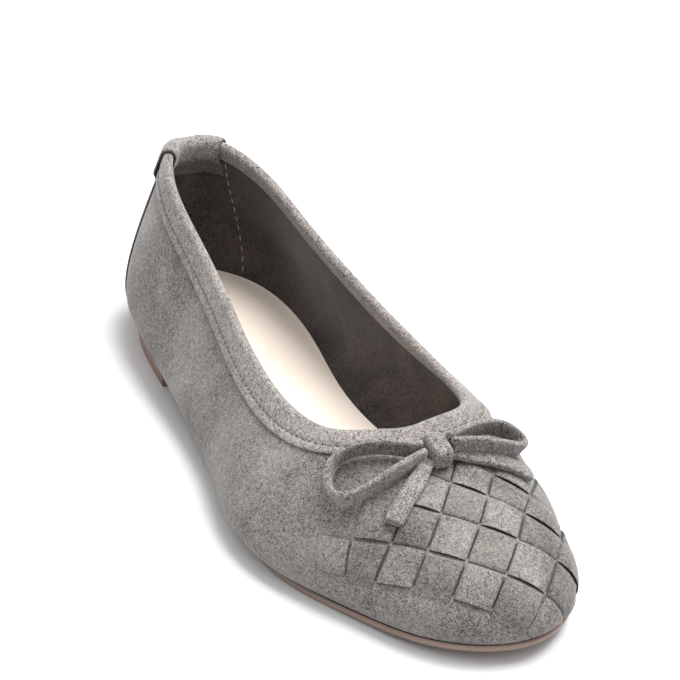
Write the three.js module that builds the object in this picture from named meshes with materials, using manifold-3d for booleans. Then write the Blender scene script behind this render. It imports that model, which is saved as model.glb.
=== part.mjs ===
import * as THREE from 'three';
import { mergeVertices } from 'three/addons/utils/BufferGeometryUtils.js';
import Module from 'manifold-3d';

// Ballet flat for the right foot, in millimetres. X runs from heel to toe, +Y is the inner (medial) side.

// Driving sizes
const LENGTH = 250;
const HALF_WIDTH = 42;
const BACK_HEIGHT = 66;
const HEEL_LIFT = 9;
const PLATE = 2.2;
const TOE_SPRING = 5.3;
const SWING = 6.1;
const WALL = 1.9;
const RIM_WALL = 1.3;
const COUNTER = 5;
const COUNTER_TOP = 0.6;
const COUNTER_REACH = 3.5;
const COUNTER_FADE = 2.5;
const GAP = 0.3;
const WELT = 1.0;
const INSOLE = 2.4;

// Sole shape along the length, as shares of it
const ARCH_START = 0.12;
const ARCH_END = 0.54;
const SPRING_START = 0.76;
const SWING_START = 0.3;
const HEEL_BREAST = 0.255;

// Stacked heel
const HEEL_TAPER = 2.6;
const HEEL_INSET = 0.4;
const LIFT_GROOVE = 0.35;
const GROOVE_HALF = 0.025;
const LIFTS = 4;
const LIFT_EDGE = 0.6;
const PLATE_ROUND = 0.8;

// Weave of the vamp
const STRIP_RISE = 1.0;
const STRIP_TUCK = 0.2;
const STRIP_SEAT = 0.9;
const STRIP_GAP = 0.35;
const WEAVE_FOOT = 0.015;
const WEAVE_LEAST = 0.06;
const WEAVE_CLEAR = 0.8;

// Topline binding and heel stay
const BINDING = 0.9;
const BINDING_DEPTH = 9;
const BINDING_INSIDE = 5;
const STAY = 0.9;
const STAY_TOP = 11.5;
const STAY_FOOT_LATERAL = 27.5;
const STAY_FOOT_MEDIAL = 22;
const STAY_FLARE = 0.08;
const STAY_INSIDE = 12;
const STAY_STEP = 2.2;
const STAY_EASE = 0.6;
const STAY_OVERLAP = 0.4;
const BINDING_EASE = 0.4;

// Bow of folded strip
const RIBBON_WIDTH = 6.3;
const RIBBON_THICK = 2.3;
const TAIL_WIDTH = 6;
const KNOT_LENGTH = 7;
const KNOT_WIDTH = 12;
const KNOT_HEIGHT = 8;
const LOOP_START = 0.02;
const TIP_LIFT = 0.3;
const TAIL_NECK = 0.85;
const TAIL_RAISED = 1.2;
const CUT_TOLERANCE = 0.02;

// Plan of the sole edge. along is a share of LENGTH from the heel,
// lateral and medial are shares of HALF_WIDTH.
const SOLE_ROWS = [
  { at: 'heel back', along: 0, lateral: 0, medial: 0 },
  { at: 'heel corner', along: 0.035, lateral: 0.41, medial: 0.41 },
  { at: 'heel side', along: 0.115, lateral: 0.67, medial: 0.625 },
  { at: 'seat front', along: 0.24, lateral: 0.765, medial: 0.62 },
  { at: 'waist', along: 0.38, lateral: 0.86, medial: 0.52 },
  { at: 'waist front', along: 0.51, lateral: 0.985, medial: 0.58 },
  { at: 'ball rear', along: 0.63, lateral: 1.115, medial: 0.76 },
  { at: 'ball', along: 0.735, lateral: 1.125, medial: 0.91 },
  { at: 'toe shoulder', along: 0.845, lateral: 0.88, medial: 0.865 },
  { at: 'toe corner', along: 0.947, lateral: 0.57, medial: 0.6 },
  { at: 'toe tip', along: 1, lateral: 0, medial: 0 },
];

// Topline, row for row with the sole. height is a share of BACK_HEIGHT.
const TOP_ROWS = [
  { along: 0.021, lateral: 0, medial: 0, height: 0.966 },
  { along: 0.037, lateral: 0.209, medial: 0.226, height: 0.976 },
  { along: 0.117, lateral: 0.398, medial: 0.443, height: 0.912 },
  { along: 0.235, lateral: 0.47, medial: 0.52, height: 0.812 },
  { along: 0.351, lateral: 0.55, medial: 0.583, height: 0.732 },
  { along: 0.456, lateral: 0.642, medial: 0.66, height: 0.658 },
  { along: 0.565, lateral: 0.686, medial: 0.715, height: 0.611 },
  { along: 0.644, lateral: 0.627, medial: 0.664, height: 0.615 },
  { along: 0.678, lateral: 0.471, medial: 0.486, height: 0.632 },
  { along: 0.687, lateral: 0.257, medial: 0.238, height: 0.629 },
  { along: 0.689, lateral: 0, medial: 0, height: 0.611 },
];

// Fullness of the last at each row, lateral side. bulge and roofOut are shares of HALF_WIDTH,
// wall and roofDown of BACK_HEIGHT.
const LATERAL_RIBS = [
  { bulge: 0.25, wall: 0.06, roofOut: 0.1, roofDown: 0.258 },
  { bulge: 0.25, wall: 0.055, roofOut: 0.1, roofDown: 0.258 },
  { bulge: 0.28, wall: 0.05, roofOut: 0.09, roofDown: 0.258 },
  { bulge: 0.33, wall: 0.05, roofOut: 0.1, roofDown: 0.242 },
  { bulge: 0.285, wall: 0.055, roofOut: 0.14, roofDown: 0.227 },
  { bulge: 0.3, wall: 0.06, roofOut: 0.18, roofDown: 0.189 },
  { bulge: 0.44, wall: 0.06, roofOut: 0.28, roofDown: 0.144 },
  { bulge: 0.36, wall: 0.09, roofOut: 0.381, roofDown: 0.098 },
  { bulge: 0.25, wall: 0.15, roofOut: 0.548, roofDown: 0.083 },
  { bulge: 0.26, wall: 0.18, roofOut: 0.755, roofDown: 0.076 },
  { bulge: 0.25, wall: 0.24, roofOut: 0.875, roofDown: 0.071 },
];

// The same on the medial side
const MEDIAL_RIBS = [
  { bulge: 0.25, wall: 0.06, roofOut: 0.1, roofDown: 0.258 },
  { bulge: 0.25, wall: 0.06, roofOut: 0.1, roofDown: 0.258 },
  { bulge: 0.26, wall: 0.08, roofOut: 0.1, roofDown: 0.258 },
  { bulge: 0.26, wall: 0.09, roofOut: 0.12, roofDown: 0.242 },
  { bulge: 0.27, wall: 0.1, roofOut: 0.119, roofDown: 0.227 },
  { bulge: 0.27, wall: 0.1, roofOut: 0.119, roofDown: 0.197 },
  { bulge: 0.26, wall: 0.1, roofOut: 0.214, roofDown: 0.136 },
  { bulge: 0.25, wall: 0.12, roofOut: 0.357, roofDown: 0.098 },
  { bulge: 0.24, wall: 0.18, roofOut: 0.548, roofDown: 0.08 },
  { bulge: 0.25, wall: 0.24, roofOut: 0.785, roofDown: 0.076 },
  { bulge: 0.25, wall: 0.24, roofOut: 0.875, roofDown: 0.071 },
];

// Weave lines on the unrolled vamp, as shares of HALF_WIDTH from the throat on the frame's centre line.
// Strip lines run towards the inner toe, cross lines towards the outer toe, at 45 degrees to the length.
// lean turns a line a little about the middle of the vamp.
const STRIP_LINES = [
  { at: -0.25, lean: 0 },
  { at: 0.085, lean: 0 },
  { at: 0.375, lean: -0.05 },
  { at: 0.715, lean: -0.075 },
  { at: 1.055, lean: -0.035 },
  { at: 1.347, lean: 0 },
];
const CROSS_LINES = [
  { at: -0.135, lean: 0.32 },
  { at: 0.12, lean: 0.26 },
  { at: 0.38, lean: 0.12 },
  { at: 0.64, lean: 0.12 },
  { at: 0.932, lean: 0.11 },
  { at: 1.222, lean: 0.1 },
  { at: 1.53, lean: 0.08 },
  { at: 2.185, lean: 0.05 },
];
const STRIP_MIDDLE = 0.6;
const CROSS_MIDDLE = 1.07;

// Cells of the weave that show, for each strip the first and the last cross space
const WEAVE_ROWS = [
  { strip: 0, first: 4, last: 5 },
  { strip: 1, first: 2, last: 6 },
  { strip: 2, first: 2, last: 6 },
  { strip: 3, first: 1, last: 6 },
  { strip: 4, first: 0, last: 6 },
];

// Bow seen from above: places on the vamp, x as a share of LENGTH and y of HALF_WIDTH
const KNOT_AT = { x: 0.258, y: 0.1 };
const BOW_LOOPS = [
  { name: 'bow_loop_lateral', tipX: 0.246, tipY: -0.72, spread: 0.175, lift: 0.5 },
  { name: 'bow_loop_medial', tipX: 0.243, tipY: 0.81, spread: 0.11, lift: 2.5 },
];
const BOW_TAILS = [
  { name: 'bow_tail_lateral', start: [0.268, 0], bend: [0.304, -0.26], end: [0.33, -0.455] },
  { name: 'bow_tail_medial', start: [0.258, 0.16], bend: [0.276, 0.5], end: [0.29, 0.8] },
];

// Fineness of the faceted solids
const AROUND = 80;
const RIB_STEPS = 9;
const HEEL_STEPS = 13;
const UNROLL_STEPS = 8;
const WEAVE_ALONG = 4;
const WEAVE_ACROSS = 2;
const LINING_LEVELS = [0, 0.05, 0.1, 0.18, 0.36, 0.58, 0.76, 0.9, 1];
const LOOP_STEPS = 22;
const TAIL_STEPS = 8;
const STAY_STEPS = 12;

const wasm = await Module();
wasm.setup();

const smooth = (t) => {
  const s = Math.min(1, Math.max(0, t));
  return s * s * (3 - 2 * s);
};
const mix = (a, b, t) => a + (b - a) * t;
const v3 = (x, y, z) => new THREE.Vector3(x, y, z);
const STATIONS = 2 * (SOLE_ROWS.length - 1);

// Smooth closed curve through rows of numbers, one unit of the parameter for each row
function closedCurve(rows) {
  const count = rows.length;
  let slopes = rows.map((row) => row.map(() => 0));
  for (let sweep = 0; sweep < 60; sweep++) {
    slopes = rows.map((row, i) => {
      const next = (i + 1) % count;
      const last = (i + count - 1) % count;
      return row.map((_, k) => {
        const rise = 3 * (rows[next][k] - rows[last][k]);
        return (rise - slopes[next][k] - slopes[last][k]) / 4;
      });
    });
  }
  return (t) => {
    const whole = Math.floor(t);
    const s = t - whole;
    const i = ((whole % count) + count) % count;
    const j = (i + 1) % count;
    const a = 2 * s ** 3 - 3 * s ** 2 + 1;
    const b = s ** 3 - 2 * s ** 2 + s;
    const c = 3 * s ** 2 - 2 * s ** 3;
    const d = s ** 3 - s ** 2;
    return rows[i].map((_, k) => a * rows[i][k] + b * slopes[i][k] + c * rows[j][k] + d * slopes[j][k]);
  };
}

// Rows from the heel down the lateral side to the toe, then back along the medial side
function aroundShoe(lateralRow, medialRow) {
  const rows = [];
  for (let i = 0; i < SOLE_ROWS.length; i++) rows.push(lateralRow(i));
  for (let i = SOLE_ROWS.length - 2; i > 0; i--) rows.push(medialRow(i));
  return rows;
}

const swingAt = (share) => SWING * Math.max(0, (share - SWING_START) / (1 - SWING_START)) ** 1.5;

function planRow(row, width) {
  return [(row.along - 0.5) * LENGTH, width * HALF_WIDTH + swingAt(row.along)];
}

const soleCurve = closedCurve(aroundShoe(
  (i) => planRow(SOLE_ROWS[i], -SOLE_ROWS[i].lateral),
  (i) => planRow(SOLE_ROWS[i], SOLE_ROWS[i].medial),
));
const topCurve = closedCurve(aroundShoe(
  (i) => [...planRow(TOP_ROWS[i], -TOP_ROWS[i].lateral), TOP_ROWS[i].height * BACK_HEIGHT],
  (i) => [...planRow(TOP_ROWS[i], TOP_ROWS[i].medial), TOP_ROWS[i].height * BACK_HEIGHT],
));
function ribRow({ bulge, wall, roofOut, roofDown }) {
  return [bulge * HALF_WIDTH, wall * BACK_HEIGHT, roofOut * HALF_WIDTH, roofDown * BACK_HEIGHT];
}

const ribCurve = closedCurve(aroundShoe((i) => ribRow(LATERAL_RIBS[i]), (i) => ribRow(MEDIAL_RIBS[i])));

// Outward direction of a plan curve
function planNormal(curve, t) {
  const step = 0.001;
  const [x0, y0] = curve(t - step);
  const [x1, y1] = curve(t + step);
  return v3(y1 - y0, x0 - x1, 0).normalize();
}

// Underside of the outsole plate above the floor
function treadHeight(x) {
  const share = x / LENGTH + 0.5;
  const arch = HEEL_LIFT * (1 - smooth((share - ARCH_START) / (ARCH_END - ARCH_START)));
  const spring = TOE_SPRING * Math.max(0, (share - SPRING_START) / (1 - SPRING_START)) ** 2;
  return arch + spring;
}

// Point on the sole outline, moved inwards
function soleEdge(t, inset) {
  const [x, y] = soleCurve(t);
  return v3(x, y, 0).addScaledVector(planNormal(soleCurve, t), -inset);
}

// Outside of the upper: t goes round the shoe, v goes from the feather edge (0) to the topline (1)
function outer(t, v) {
  const [bulge, wall, roofOut, roofDown] = ribCurve(t);
  const foot = soleEdge(t, WELT);
  foot.z = treadHeight(foot.x) + PLATE + GAP;
  const [x, y, z] = topCurve(t);
  const topOut = planNormal(topCurve, t);
  const rim = v3(x, y, z).addScaledVector(topOut, RIM_WALL / 2);
  const side = foot.clone().addScaledVector(planNormal(soleCurve, t), bulge);
  side.z += wall;
  const roof = rim.clone().addScaledVector(topOut, roofOut);
  roof.z -= roofDown;
  const w = 1 - v;
  return foot.multiplyScalar(w ** 3)
    .addScaledVector(side, 3 * v * w * w)
    .addScaledVector(roof, 3 * v * v * w)
    .addScaledVector(rim, v ** 3);
}

function tangentUp(t, v) {
  const step = 0.001;
  return outer(t, v + step).sub(outer(t, v - step)).normalize();
}

function outward(t, v) {
  const step = 0.001;
  const round = outer(t + step, v).sub(outer(t - step, v));
  return round.cross(tangentUp(t, v)).normalize();
}

function skin(t, v, rise) {
  return outer(t, v).addScaledVector(outward(t, v), rise);
}

const wallAt = (v) => mix(WALL, RIM_WALL, smooth((v - 0.7) / 0.3));

// Extra thickness of the stiff heel counter, least at its top and towards the waist
function counterAt(t, v) {
  const turn = ((t % STATIONS) + STATIONS) % STATIONS;
  const fromBack = Math.min(turn, STATIONS - turn);
  return COUNTER * smooth((COUNTER_REACH - fromBack) / COUNTER_FADE) * smooth(1 - v / COUNTER_TOP);
}

// Lining side of the wall, with the direction laid flat near the feather edge
function inner(t, v, depth = 0) {
  const out = outward(t, v);
  out.z *= smooth(v / 0.25);
  return outer(t, v).addScaledVector(out.normalize(), -wallAt(v) - counterAt(t, v) - depth);
}

// Value of v at a distance down from the topline, measured along the wall
function downFromRim(t, distance) {
  const step = 0.01;
  let v = 1;
  let gone = 0;
  let last = outer(t, v);
  while (gone < distance && v > step) {
    v -= step;
    const here = outer(t, v);
    gone += here.distanceTo(last);
    last = here;
  }
  return v + step * Math.min(1, Math.max(0, (gone - distance) / step / BACK_HEIGHT));
}

// Rolled edge at the topline: angle 0 is outside, 180 degrees inside
function rim(t, degrees, rise) {
  const out = outward(t, 1);
  const up = tangentUp(t, 1);
  const radius = RIM_WALL / 2 + rise;
  const turn = THREE.MathUtils.degToRad(degrees);
  return outer(t, 1).addScaledVector(out, -RIM_WALL / 2)
    .addScaledVector(out, radius * Math.cos(turn))
    .addScaledVector(up, radius * Math.sin(turn));
}

// Volume of a closed shell, below zero where its faces point inwards
function volumeOf({ points, faces }) {
  let sum = 0;
  for (const [a, b, c] of faces) sum += points[a].dot(points[b].clone().cross(points[c]));
  return sum / 6;
}

function shellGeometry(shell) {
  const { points, faces } = shell;
  const outwards = volumeOf(shell) < 0 ? faces.map(([a, b, c]) => [c, b, a]) : faces;
  const geometry = new THREE.BufferGeometry();
  const numbers = points.flatMap((p) => [p.x, p.y, p.z]);
  geometry.setAttribute('position', new THREE.Float32BufferAttribute(numbers, 3));
  geometry.setIndex(outwards.flat());
  return geometry;
}

function piece(name, geometry, finish) {
  const mesh = new THREE.Mesh(geometry, finish);
  mesh.name = name;
  return mesh;
}

function quad(faces, a, b, c, d) {
  faces.push([a, b, c], [a, c, d]);
}

// Closed tube of rings. Each ring has the same number of points. wrap joins the last ring to the first,
// otherwise the two end rings are filled across from one side to the other.
function skinRings(rings, wrap) {
  const size = rings[0].length;
  const points = rings.flat();
  const faces = [];
  const bands = wrap ? rings.length : rings.length - 1;
  for (let i = 0; i < bands; i++) {
    const here = i * size;
    const next = ((i + 1) % rings.length) * size;
    for (let k = 0; k < size; k++) {
      const m = (k + 1) % size;
      quad(faces, here + k, here + m, next + m, next + k);
    }
  }
  if (!wrap) {
    fillAcross(faces, 0, size, true);
    fillAcross(faces, (rings.length - 1) * size, size, false);
  }
  return { points, faces };
}

function fillAcross(faces, start, size, flip) {
  for (let k = 0; k < Math.floor(size / 2); k++) {
    const across = [k, k + 1, size - k - 1, (size - k) % size];
    const corners = [...new Set(across)].map((corner) => start + corner);
    if (flip) corners.reverse();
    faces.push(corners.slice(0, 3));
    if (corners.length === 4) faces.push([corners[0], corners[2], corners[3]]);
  }
}

const ringTimes = (count) => Array.from({ length: count }, (_, k) => (STATIONS * k) / count);

const material = {
  suede: new THREE.MeshStandardMaterial({ color: 0x96928e, roughness: 0.95, metalness: 0 }),
  binding: new THREE.MeshStandardMaterial({ color: 0xa09c98, roughness: 0.95, metalness: 0 }),
  insole: new THREE.MeshStandardMaterial({ color: 0xebe1d4, roughness: 0.6, metalness: 0 }),
  sole: new THREE.MeshStandardMaterial({ color: 0x967a6e, roughness: 0.55, metalness: 0 }),
  heel: new THREE.MeshStandardMaterial({ color: 0x8c6c60, roughness: 0.5, metalness: 0 }),
};

// Outsole plate with rounded edges, rocker and toe spring
function outsole() {
  const levels = [
    { up: 0, inset: PLATE_ROUND },
    { up: PLATE * 0.28, inset: 0 },
    { up: PLATE * 0.72, inset: 0 },
    { up: PLATE, inset: PLATE_ROUND * 0.8 },
  ];
  const rings = levels.map(({ up, inset }) => ringTimes(AROUND).map((t) => {
    const p = soleEdge(t, inset);
    p.z = treadHeight(p.x) + up;
    return p;
  }));
  return piece('outsole', shellGeometry(skinRings(rings, false)), material.sole);
}

// Value of t on the lateral side where the sole outline reaches a share of the length
function timeAt(share) {
  let low = 0;
  let high = STATIONS / 2;
  for (let i = 0; i < 40; i++) {
    const mid = (low + high) / 2;
    if (soleCurve(mid)[0] / LENGTH + 0.5 < share) low = mid;
    else high = mid;
  }
  return low;
}

// Stack of leather lifts under the seat, tapered at the back, with a groove between lifts
function heelBlock() {
  const breast = timeAt(HEEL_BREAST);
  const levels = [{ share: 0, inset: LIFT_EDGE }, { share: LIFT_EDGE / HEEL_LIFT, inset: 0 }];
  for (let lift = 1; lift < LIFTS; lift++) {
    const middle = lift / LIFTS;
    levels.push({ share: middle - GROOVE_HALF, inset: 0 });
    levels.push({ share: middle, inset: LIFT_GROOVE });
    levels.push({ share: middle + GROOVE_HALF, inset: 0 });
  }
  levels.push({ share: 1, inset: 0 });
  const rings = levels.map(({ share, inset }) => {
    const ring = [];
    for (let k = -HEEL_STEPS; k <= HEEL_STEPS; k++) {
      const t = (breast * k) / HEEL_STEPS;
      const towardsBack = smooth(1.35 - Math.abs(k) / HEEL_STEPS);
      const taper = HEEL_TAPER * (1 - share) * towardsBack;
      const p = soleEdge(t, HEEL_INSET + inset + taper);
      p.z = share * (treadHeight(p.x) - GAP);
      ring.push(p);
    }
    return ring;
  });
  return piece('heel_block', shellGeometry(stackRings(rings)), material.heel);
}

// Closed stack of open horseshoe rings: the two ends of each ring are joined straight across
function stackRings(rings) {
  const size = rings[0].length;
  const points = rings.flat();
  const faces = [];
  for (let i = 0; i < rings.length - 1; i++) {
    for (let k = 0; k < size; k++) {
      const m = (k + 1) % size;
      quad(faces, i * size + k, i * size + m, (i + 1) * size + m, (i + 1) * size + k);
    }
  }
  const top = (rings.length - 1) * size;
  for (let k = 0; k < (size - 1) / 2; k++) {
    const a = k;
    const b = k + 1;
    const c = size - 2 - k;
    const d = size - 1 - k;
    if (b === c) {
      faces.push([d, b, a], [top + a, top + b, top + d]);
    } else {
      quad(faces, d, c, b, a);
      quad(faces, top + a, top + b, top + c, top + d);
    }
  }
  return { points, faces };
}

// Point inside the lining at a height above the plate
function insideAt(t, up) {
  let low = 0;
  let high = 0.5;
  const target = (p) => treadHeight(p.x) + PLATE + up;
  for (let i = 0; i < 24; i++) {
    const mid = (low + high) / 2;
    const p = inner(t, mid, GAP);
    if (p.z < target(p)) low = mid;
    else high = mid;
  }
  const p = inner(t, low, GAP);
  p.z = target(p);
  return p;
}

function insole() {
  const levels = [GAP, GAP + INSOLE * 0.6, GAP + INSOLE];
  const rings = levels.map((up) => ringTimes(AROUND).map((t) => insideAt(t, up)));
  return piece('insole', shellGeometry(skinRings(rings, false)), material.insole);
}

// Wall of the upper as a closed ring section, open at the collar and underneath
function upperWall() {
  const rings = [];
  for (const t of ringTimes(AROUND)) {
    const ring = [];
    for (let k = 0; k <= RIB_STEPS; k++) ring.push(outer(t, k / RIB_STEPS));
    ring.push(rim(t, 90, 0));
    for (const v of [...LINING_LEVELS].reverse()) ring.push(inner(t, v));
    rings.push(ring);
  }
  return skinRings(rings, true);
}

// Place on the vamp for a target, by Newton steps from the nearest point of a coarse grid
function locate(mapping, grid, x, y) {
  let best = grid[0];
  for (const cell of grid) {
    if (Math.hypot(cell.x - x, cell.y - y) < Math.hypot(best.x - x, best.y - y)) best = cell;
  }
  let { t, v } = best;
  const step = 0.002;
  for (let i = 0; i < 12; i++) {
    const here = mapping(t, v);
    const dt = mapping(t + step, v);
    const dv = mapping(t, v + step);
    const a = (dt.x - here.x) / step;
    const b = (dv.x - here.x) / step;
    const c = (dt.y - here.y) / step;
    const d = (dv.y - here.y) / step;
    const det = a * d - b * c;
    const ex = x - here.x;
    const ey = y - here.y;
    t += Math.max(-0.5, Math.min(0.5, (d * ex - b * ey) / det));
    v += Math.max(-0.2, Math.min(0.2, (a * ey - c * ex) / det));
  }
  return { t, v };
}

function vampGrid(mapping) {
  const grid = [];
  for (let t = STATIONS * 0.3; t <= STATIONS * 0.7; t += 0.25) {
    for (let v = 0; v <= 1; v += 0.1) {
      const p = mapping(t, v);
      grid.push({ t, v, x: p.x, y: p.y });
    }
  }
  return grid;
}

// The vamp unrolled flat: each rib laid out straight from the topline
function unrolled(t, v) {
  let length = 0;
  let last = outer(t, v);
  for (let i = 1; i <= UNROLL_STEPS; i++) {
    const here = outer(t, mix(v, 1, i / UNROLL_STEPS));
    length += here.distanceTo(last);
    last = here;
  }
  const top = outer(t, 1);
  const foot = outer(t, 0);
  const away = v3(foot.x - top.x, foot.y - top.y, 0).normalize();
  const reach = v > 1 ? -length : length;
  return v3(top.x, top.y, 0).addScaledVector(away, reach);
}

const unrolledGrid = vampGrid(unrolled);
const planGrid = vampGrid(outer);

// Lean of the weave's lines at a distance across them
function leanAt(lines, distance) {
  const share = distance / HALF_WIDTH;
  const next = lines.findIndex(({ at }) => at > share);
  if (next === 0) return lines[0].lean;
  if (next < 0) return lines.at(-1).lean;
  const low = lines[next - 1];
  const high = lines[next];
  return mix(low.lean, high.lean, (share - low.at) / (high.at - low.at));
}

// Place on the vamp of a point of the weave: a across the strips, b along them
function weavePoint(a, b) {
  const throat = (TOP_ROWS.at(-1).along - 0.5) * LENGTH;
  const across = a + leanAt(STRIP_LINES, a) * (b - STRIP_MIDDLE * HALF_WIDTH);
  const along = b + leanAt(CROSS_LINES, b) * (a - CROSS_MIDDLE * HALF_WIDTH);
  const x = throat + (across + along) * Math.SQRT1_2;
  return locate(unrolled, unrolledGrid, x, (along - across) * Math.SQRT1_2);
}

// Whether a place lies between the feather edge and the binding
function isFree({ t, v }) {
  return v >= WEAVE_FOOT && v <= downFromRim(t, BINDING_DEPTH + WEAVE_CLEAR);
}

// A point of the weave drawn back towards a middle until it is free
function freePoint(middle, a, b) {
  let place = weavePoint(a, b);
  if (isFree(place)) return place;
  let low = 0;
  let high = 1;
  for (let n = 0; n < 12; n++) {
    const share = (low + high) / 2;
    place = weavePoint(mix(middle.a, a, share), mix(middle.b, b, share));
    if (isFree(place)) low = share;
    else high = share;
  }
  return weavePoint(mix(middle.a, a, low), mix(middle.b, b, low));
}

// One visible square of the weave, from one strip passing over the other
function weaveSquare(strip, cross) {
  const a0 = STRIP_LINES[strip].at * HALF_WIDTH + STRIP_GAP;
  const a1 = STRIP_LINES[strip + 1].at * HALF_WIDTH - STRIP_GAP;
  const b0 = CROSS_LINES[cross].at * HALF_WIDTH + STRIP_GAP;
  const b1 = CROSS_LINES[cross + 1].at * HALF_WIDTH - STRIP_GAP;
  const overStrip = (strip + cross) % 2 === 0;
  const middle = { a: (a0 + a1) / 2, b: (b0 + b1) / 2 };
  const centre = weavePoint(middle.a, middle.b);
  if (centre.v < WEAVE_LEAST || !isFree(centre)) return null;
  const top = [];
  const bottom = [];
  for (let i = 0; i <= WEAVE_ALONG; i++) {
    for (let j = 0; j <= WEAVE_ACROSS; j++) {
      const s = i / WEAVE_ALONG;
      const r = j / WEAVE_ACROSS;
      const a = mix(a0, a1, overStrip ? r : s);
      const b = mix(b0, b1, overStrip ? s : r);
      const place = freePoint(middle, a, b);
      const rise = mix(STRIP_RISE, STRIP_TUCK, (2 * s - 1) ** 4);
      top.push(skin(place.t, place.v, rise));
      bottom.push(skin(place.t, place.v, -STRIP_SEAT));
    }
  }
  return patchSolid(top, bottom, WEAVE_ALONG, WEAVE_ACROSS);
}

// Slab between two point grids
function patchSolid(top, bottom, along, across) {
  const row = across + 1;
  const shift = top.length;
  const faces = [];
  for (let i = 0; i < along; i++) {
    for (let j = 0; j < across; j++) {
      const k = i * row + j;
      quad(faces, k, k + 1, k + row + 1, k + row);
      quad(faces, shift + k + row, shift + k + row + 1, shift + k + 1, shift + k);
    }
  }
  const edge = [];
  for (let j = 0; j < across; j++) edge.push(j);
  for (let i = 0; i < along; i++) edge.push(i * row + across);
  for (let j = across; j > 0; j--) edge.push(along * row + j);
  for (let i = along; i > 0; i--) edge.push(i * row);
  for (let k = 0; k < edge.length; k++) {
    const m = edge[(k + 1) % edge.length];
    quad(faces, m, edge[k], shift + edge[k], shift + m);
  }
  return { points: [...top, ...bottom], faces };
}

// Solid for joining and cutting
function toManifold(shell) {
  return meshManifold(mergeVertices(shellGeometry(shell)));
}

function meshManifold(geometry) {
  return new wasm.Manifold(new wasm.Mesh({
    numProp: 3,
    vertProperties: new Float32Array(geometry.attributes.position.array),
    triVerts: new Uint32Array(geometry.index.array),
  }));
}

function fromManifold(body) {
  const cut = body.getMesh();
  const geometry = new THREE.BufferGeometry();
  geometry.setAttribute('position', new THREE.Float32BufferAttribute(cut.vertProperties, 3));
  geometry.setIndex(Array.from(cut.triVerts));
  return geometry;
}

// One hollow wall with the strips of the weave raised on it
function upper() {
  let body = toManifold(upperWall());
  for (const { strip, first, last } of WEAVE_ROWS) {
    for (let cross = first; cross <= last; cross++) {
      const square = weaveSquare(strip, cross);
      if (square) body = body.add(toManifold(square));
    }
  }
  return piece('upper', fromManifold(body), material.suede);
}

// Strip folded over the topline: a channel that runs all round
function toplineBinding() {
  const far = GAP + BINDING;
  const rings = ringTimes(AROUND).map((t) => {
    const half = downFromRim(t, BINDING_DEPTH / 2);
    const deep = downFromRim(t, BINDING_DEPTH);
    const inside = downFromRim(t, BINDING_INSIDE);
    const outside = [skin(t, deep, far), skin(t, half, far)];
    const roll = [15, 65, 115, 165].map((degrees) => rim(t, degrees, far));
    const lining = [inner(t, inside, BINDING_EASE + BINDING), inner(t, inside, BINDING_EASE)];
    const underRoll = [rim(t, 180, BINDING_EASE), rim(t, 90, GAP), rim(t, 0, GAP)];
    const under = [skin(t, half, GAP), skin(t, deep, GAP)];
    return [...outside, ...roll, ...lining, ...underRoll, ...under];
  });
  return piece('topline_binding', shellGeometry(skinRings(rings, true)), material.binding);
}

// Value of t where the outside of the heel is a distance to one side of the middle
function heelTime(v, side) {
  let low = 0;
  let high = STATIONS / 5;
  for (let i = 0; i < 30; i++) {
    const mid = (low + high) / 2;
    const y = outer(side < 0 ? mid : -mid, v).y;
    if (Math.abs(y) < Math.abs(side)) low = mid;
    else high = mid;
  }
  return side < 0 ? low : -low;
}

// Heel stay: from inside the collar over the rim and down the back to the sole.
// It rides over the binding and steps down to the wall beyond it.
function heelStay() {
  const over = 2.5 * GAP + BINDING;
  const steps = [];
  const insideSteps = [
    { depth: STAY_INSIDE, rise: GAP },
    { depth: BINDING_INSIDE + STAY_STEP, rise: GAP },
    { depth: BINDING_INSIDE + STAY_OVERLAP, rise: over },
  ];
  for (const { depth, rise } of insideSteps) {
    steps.push({ v: 1, place: (t, more) => inner(t, downFromRim(t, depth), rise + more) });
  }
  for (const degrees of [165, 115, 65, 15]) {
    steps.push({ v: 1, place: (t, more) => rim(t, degrees, over + more) });
  }
  const outsideSteps = [
    { depth: BINDING_DEPTH / 2, rise: over },
    { depth: BINDING_DEPTH + STAY_OVERLAP, rise: over },
    { depth: BINDING_DEPTH + STAY_STEP, rise: STAY_EASE },
  ];
  for (const { depth, rise } of outsideSteps) {
    steps.push({ v: downFromRim(0, depth), place: (t, more) => skin(t, downFromRim(t, depth), rise + more) });
  }
  const start = downFromRim(0, BINDING_DEPTH + STAY_STEP);
  for (let row = RIB_STEPS - 1; row >= 0; row--) {
    const v = row / RIB_STEPS;
    if (v < start - 0.04) steps.push({ v, place: (t, more) => skin(t, v, STAY_EASE + more) });
  }
  const outsideFace = [];
  const backFace = [];
  for (const { v, place } of steps) {
    const flare = smooth((v - STAY_FLARE) / (1 - STAY_FLARE));
    for (let k = 0; k <= STAY_STEPS; k++) {
      const side = 1 - (2 * k) / STAY_STEPS;
      const foot = side < 0 ? STAY_FOOT_LATERAL : STAY_FOOT_MEDIAL;
      const t = heelTime(v, mix(foot, STAY_TOP, flare) * side);
      const face = place(t, STAY);
      const back = place(t, 0);
      if (v < 0.01) {
        const out = planNormal(soleCurve, t);
        back.copy(soleEdge(t, WELT)).addScaledVector(out, STAY_EASE);
        back.z = treadHeight(back.x) + PLATE + GAP;
        face.copy(back).addScaledVector(out, STAY);
      }
      outsideFace.push(face);
      backFace.push(back);
    }
  }
  const slab = patchSolid(outsideFace, backFace, steps.length - 1, STAY_STEPS);
  return piece('heel_stay', shellGeometry(slab), material.binding);
}

// Point over the vamp seen from above, with the outward direction there
function overVamp(x, y, rise) {
  const { t, v } = locate(outer, planGrid, x, y);
  return { point: skin(t, v, rise), out: outward(t, v) };
}

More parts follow.
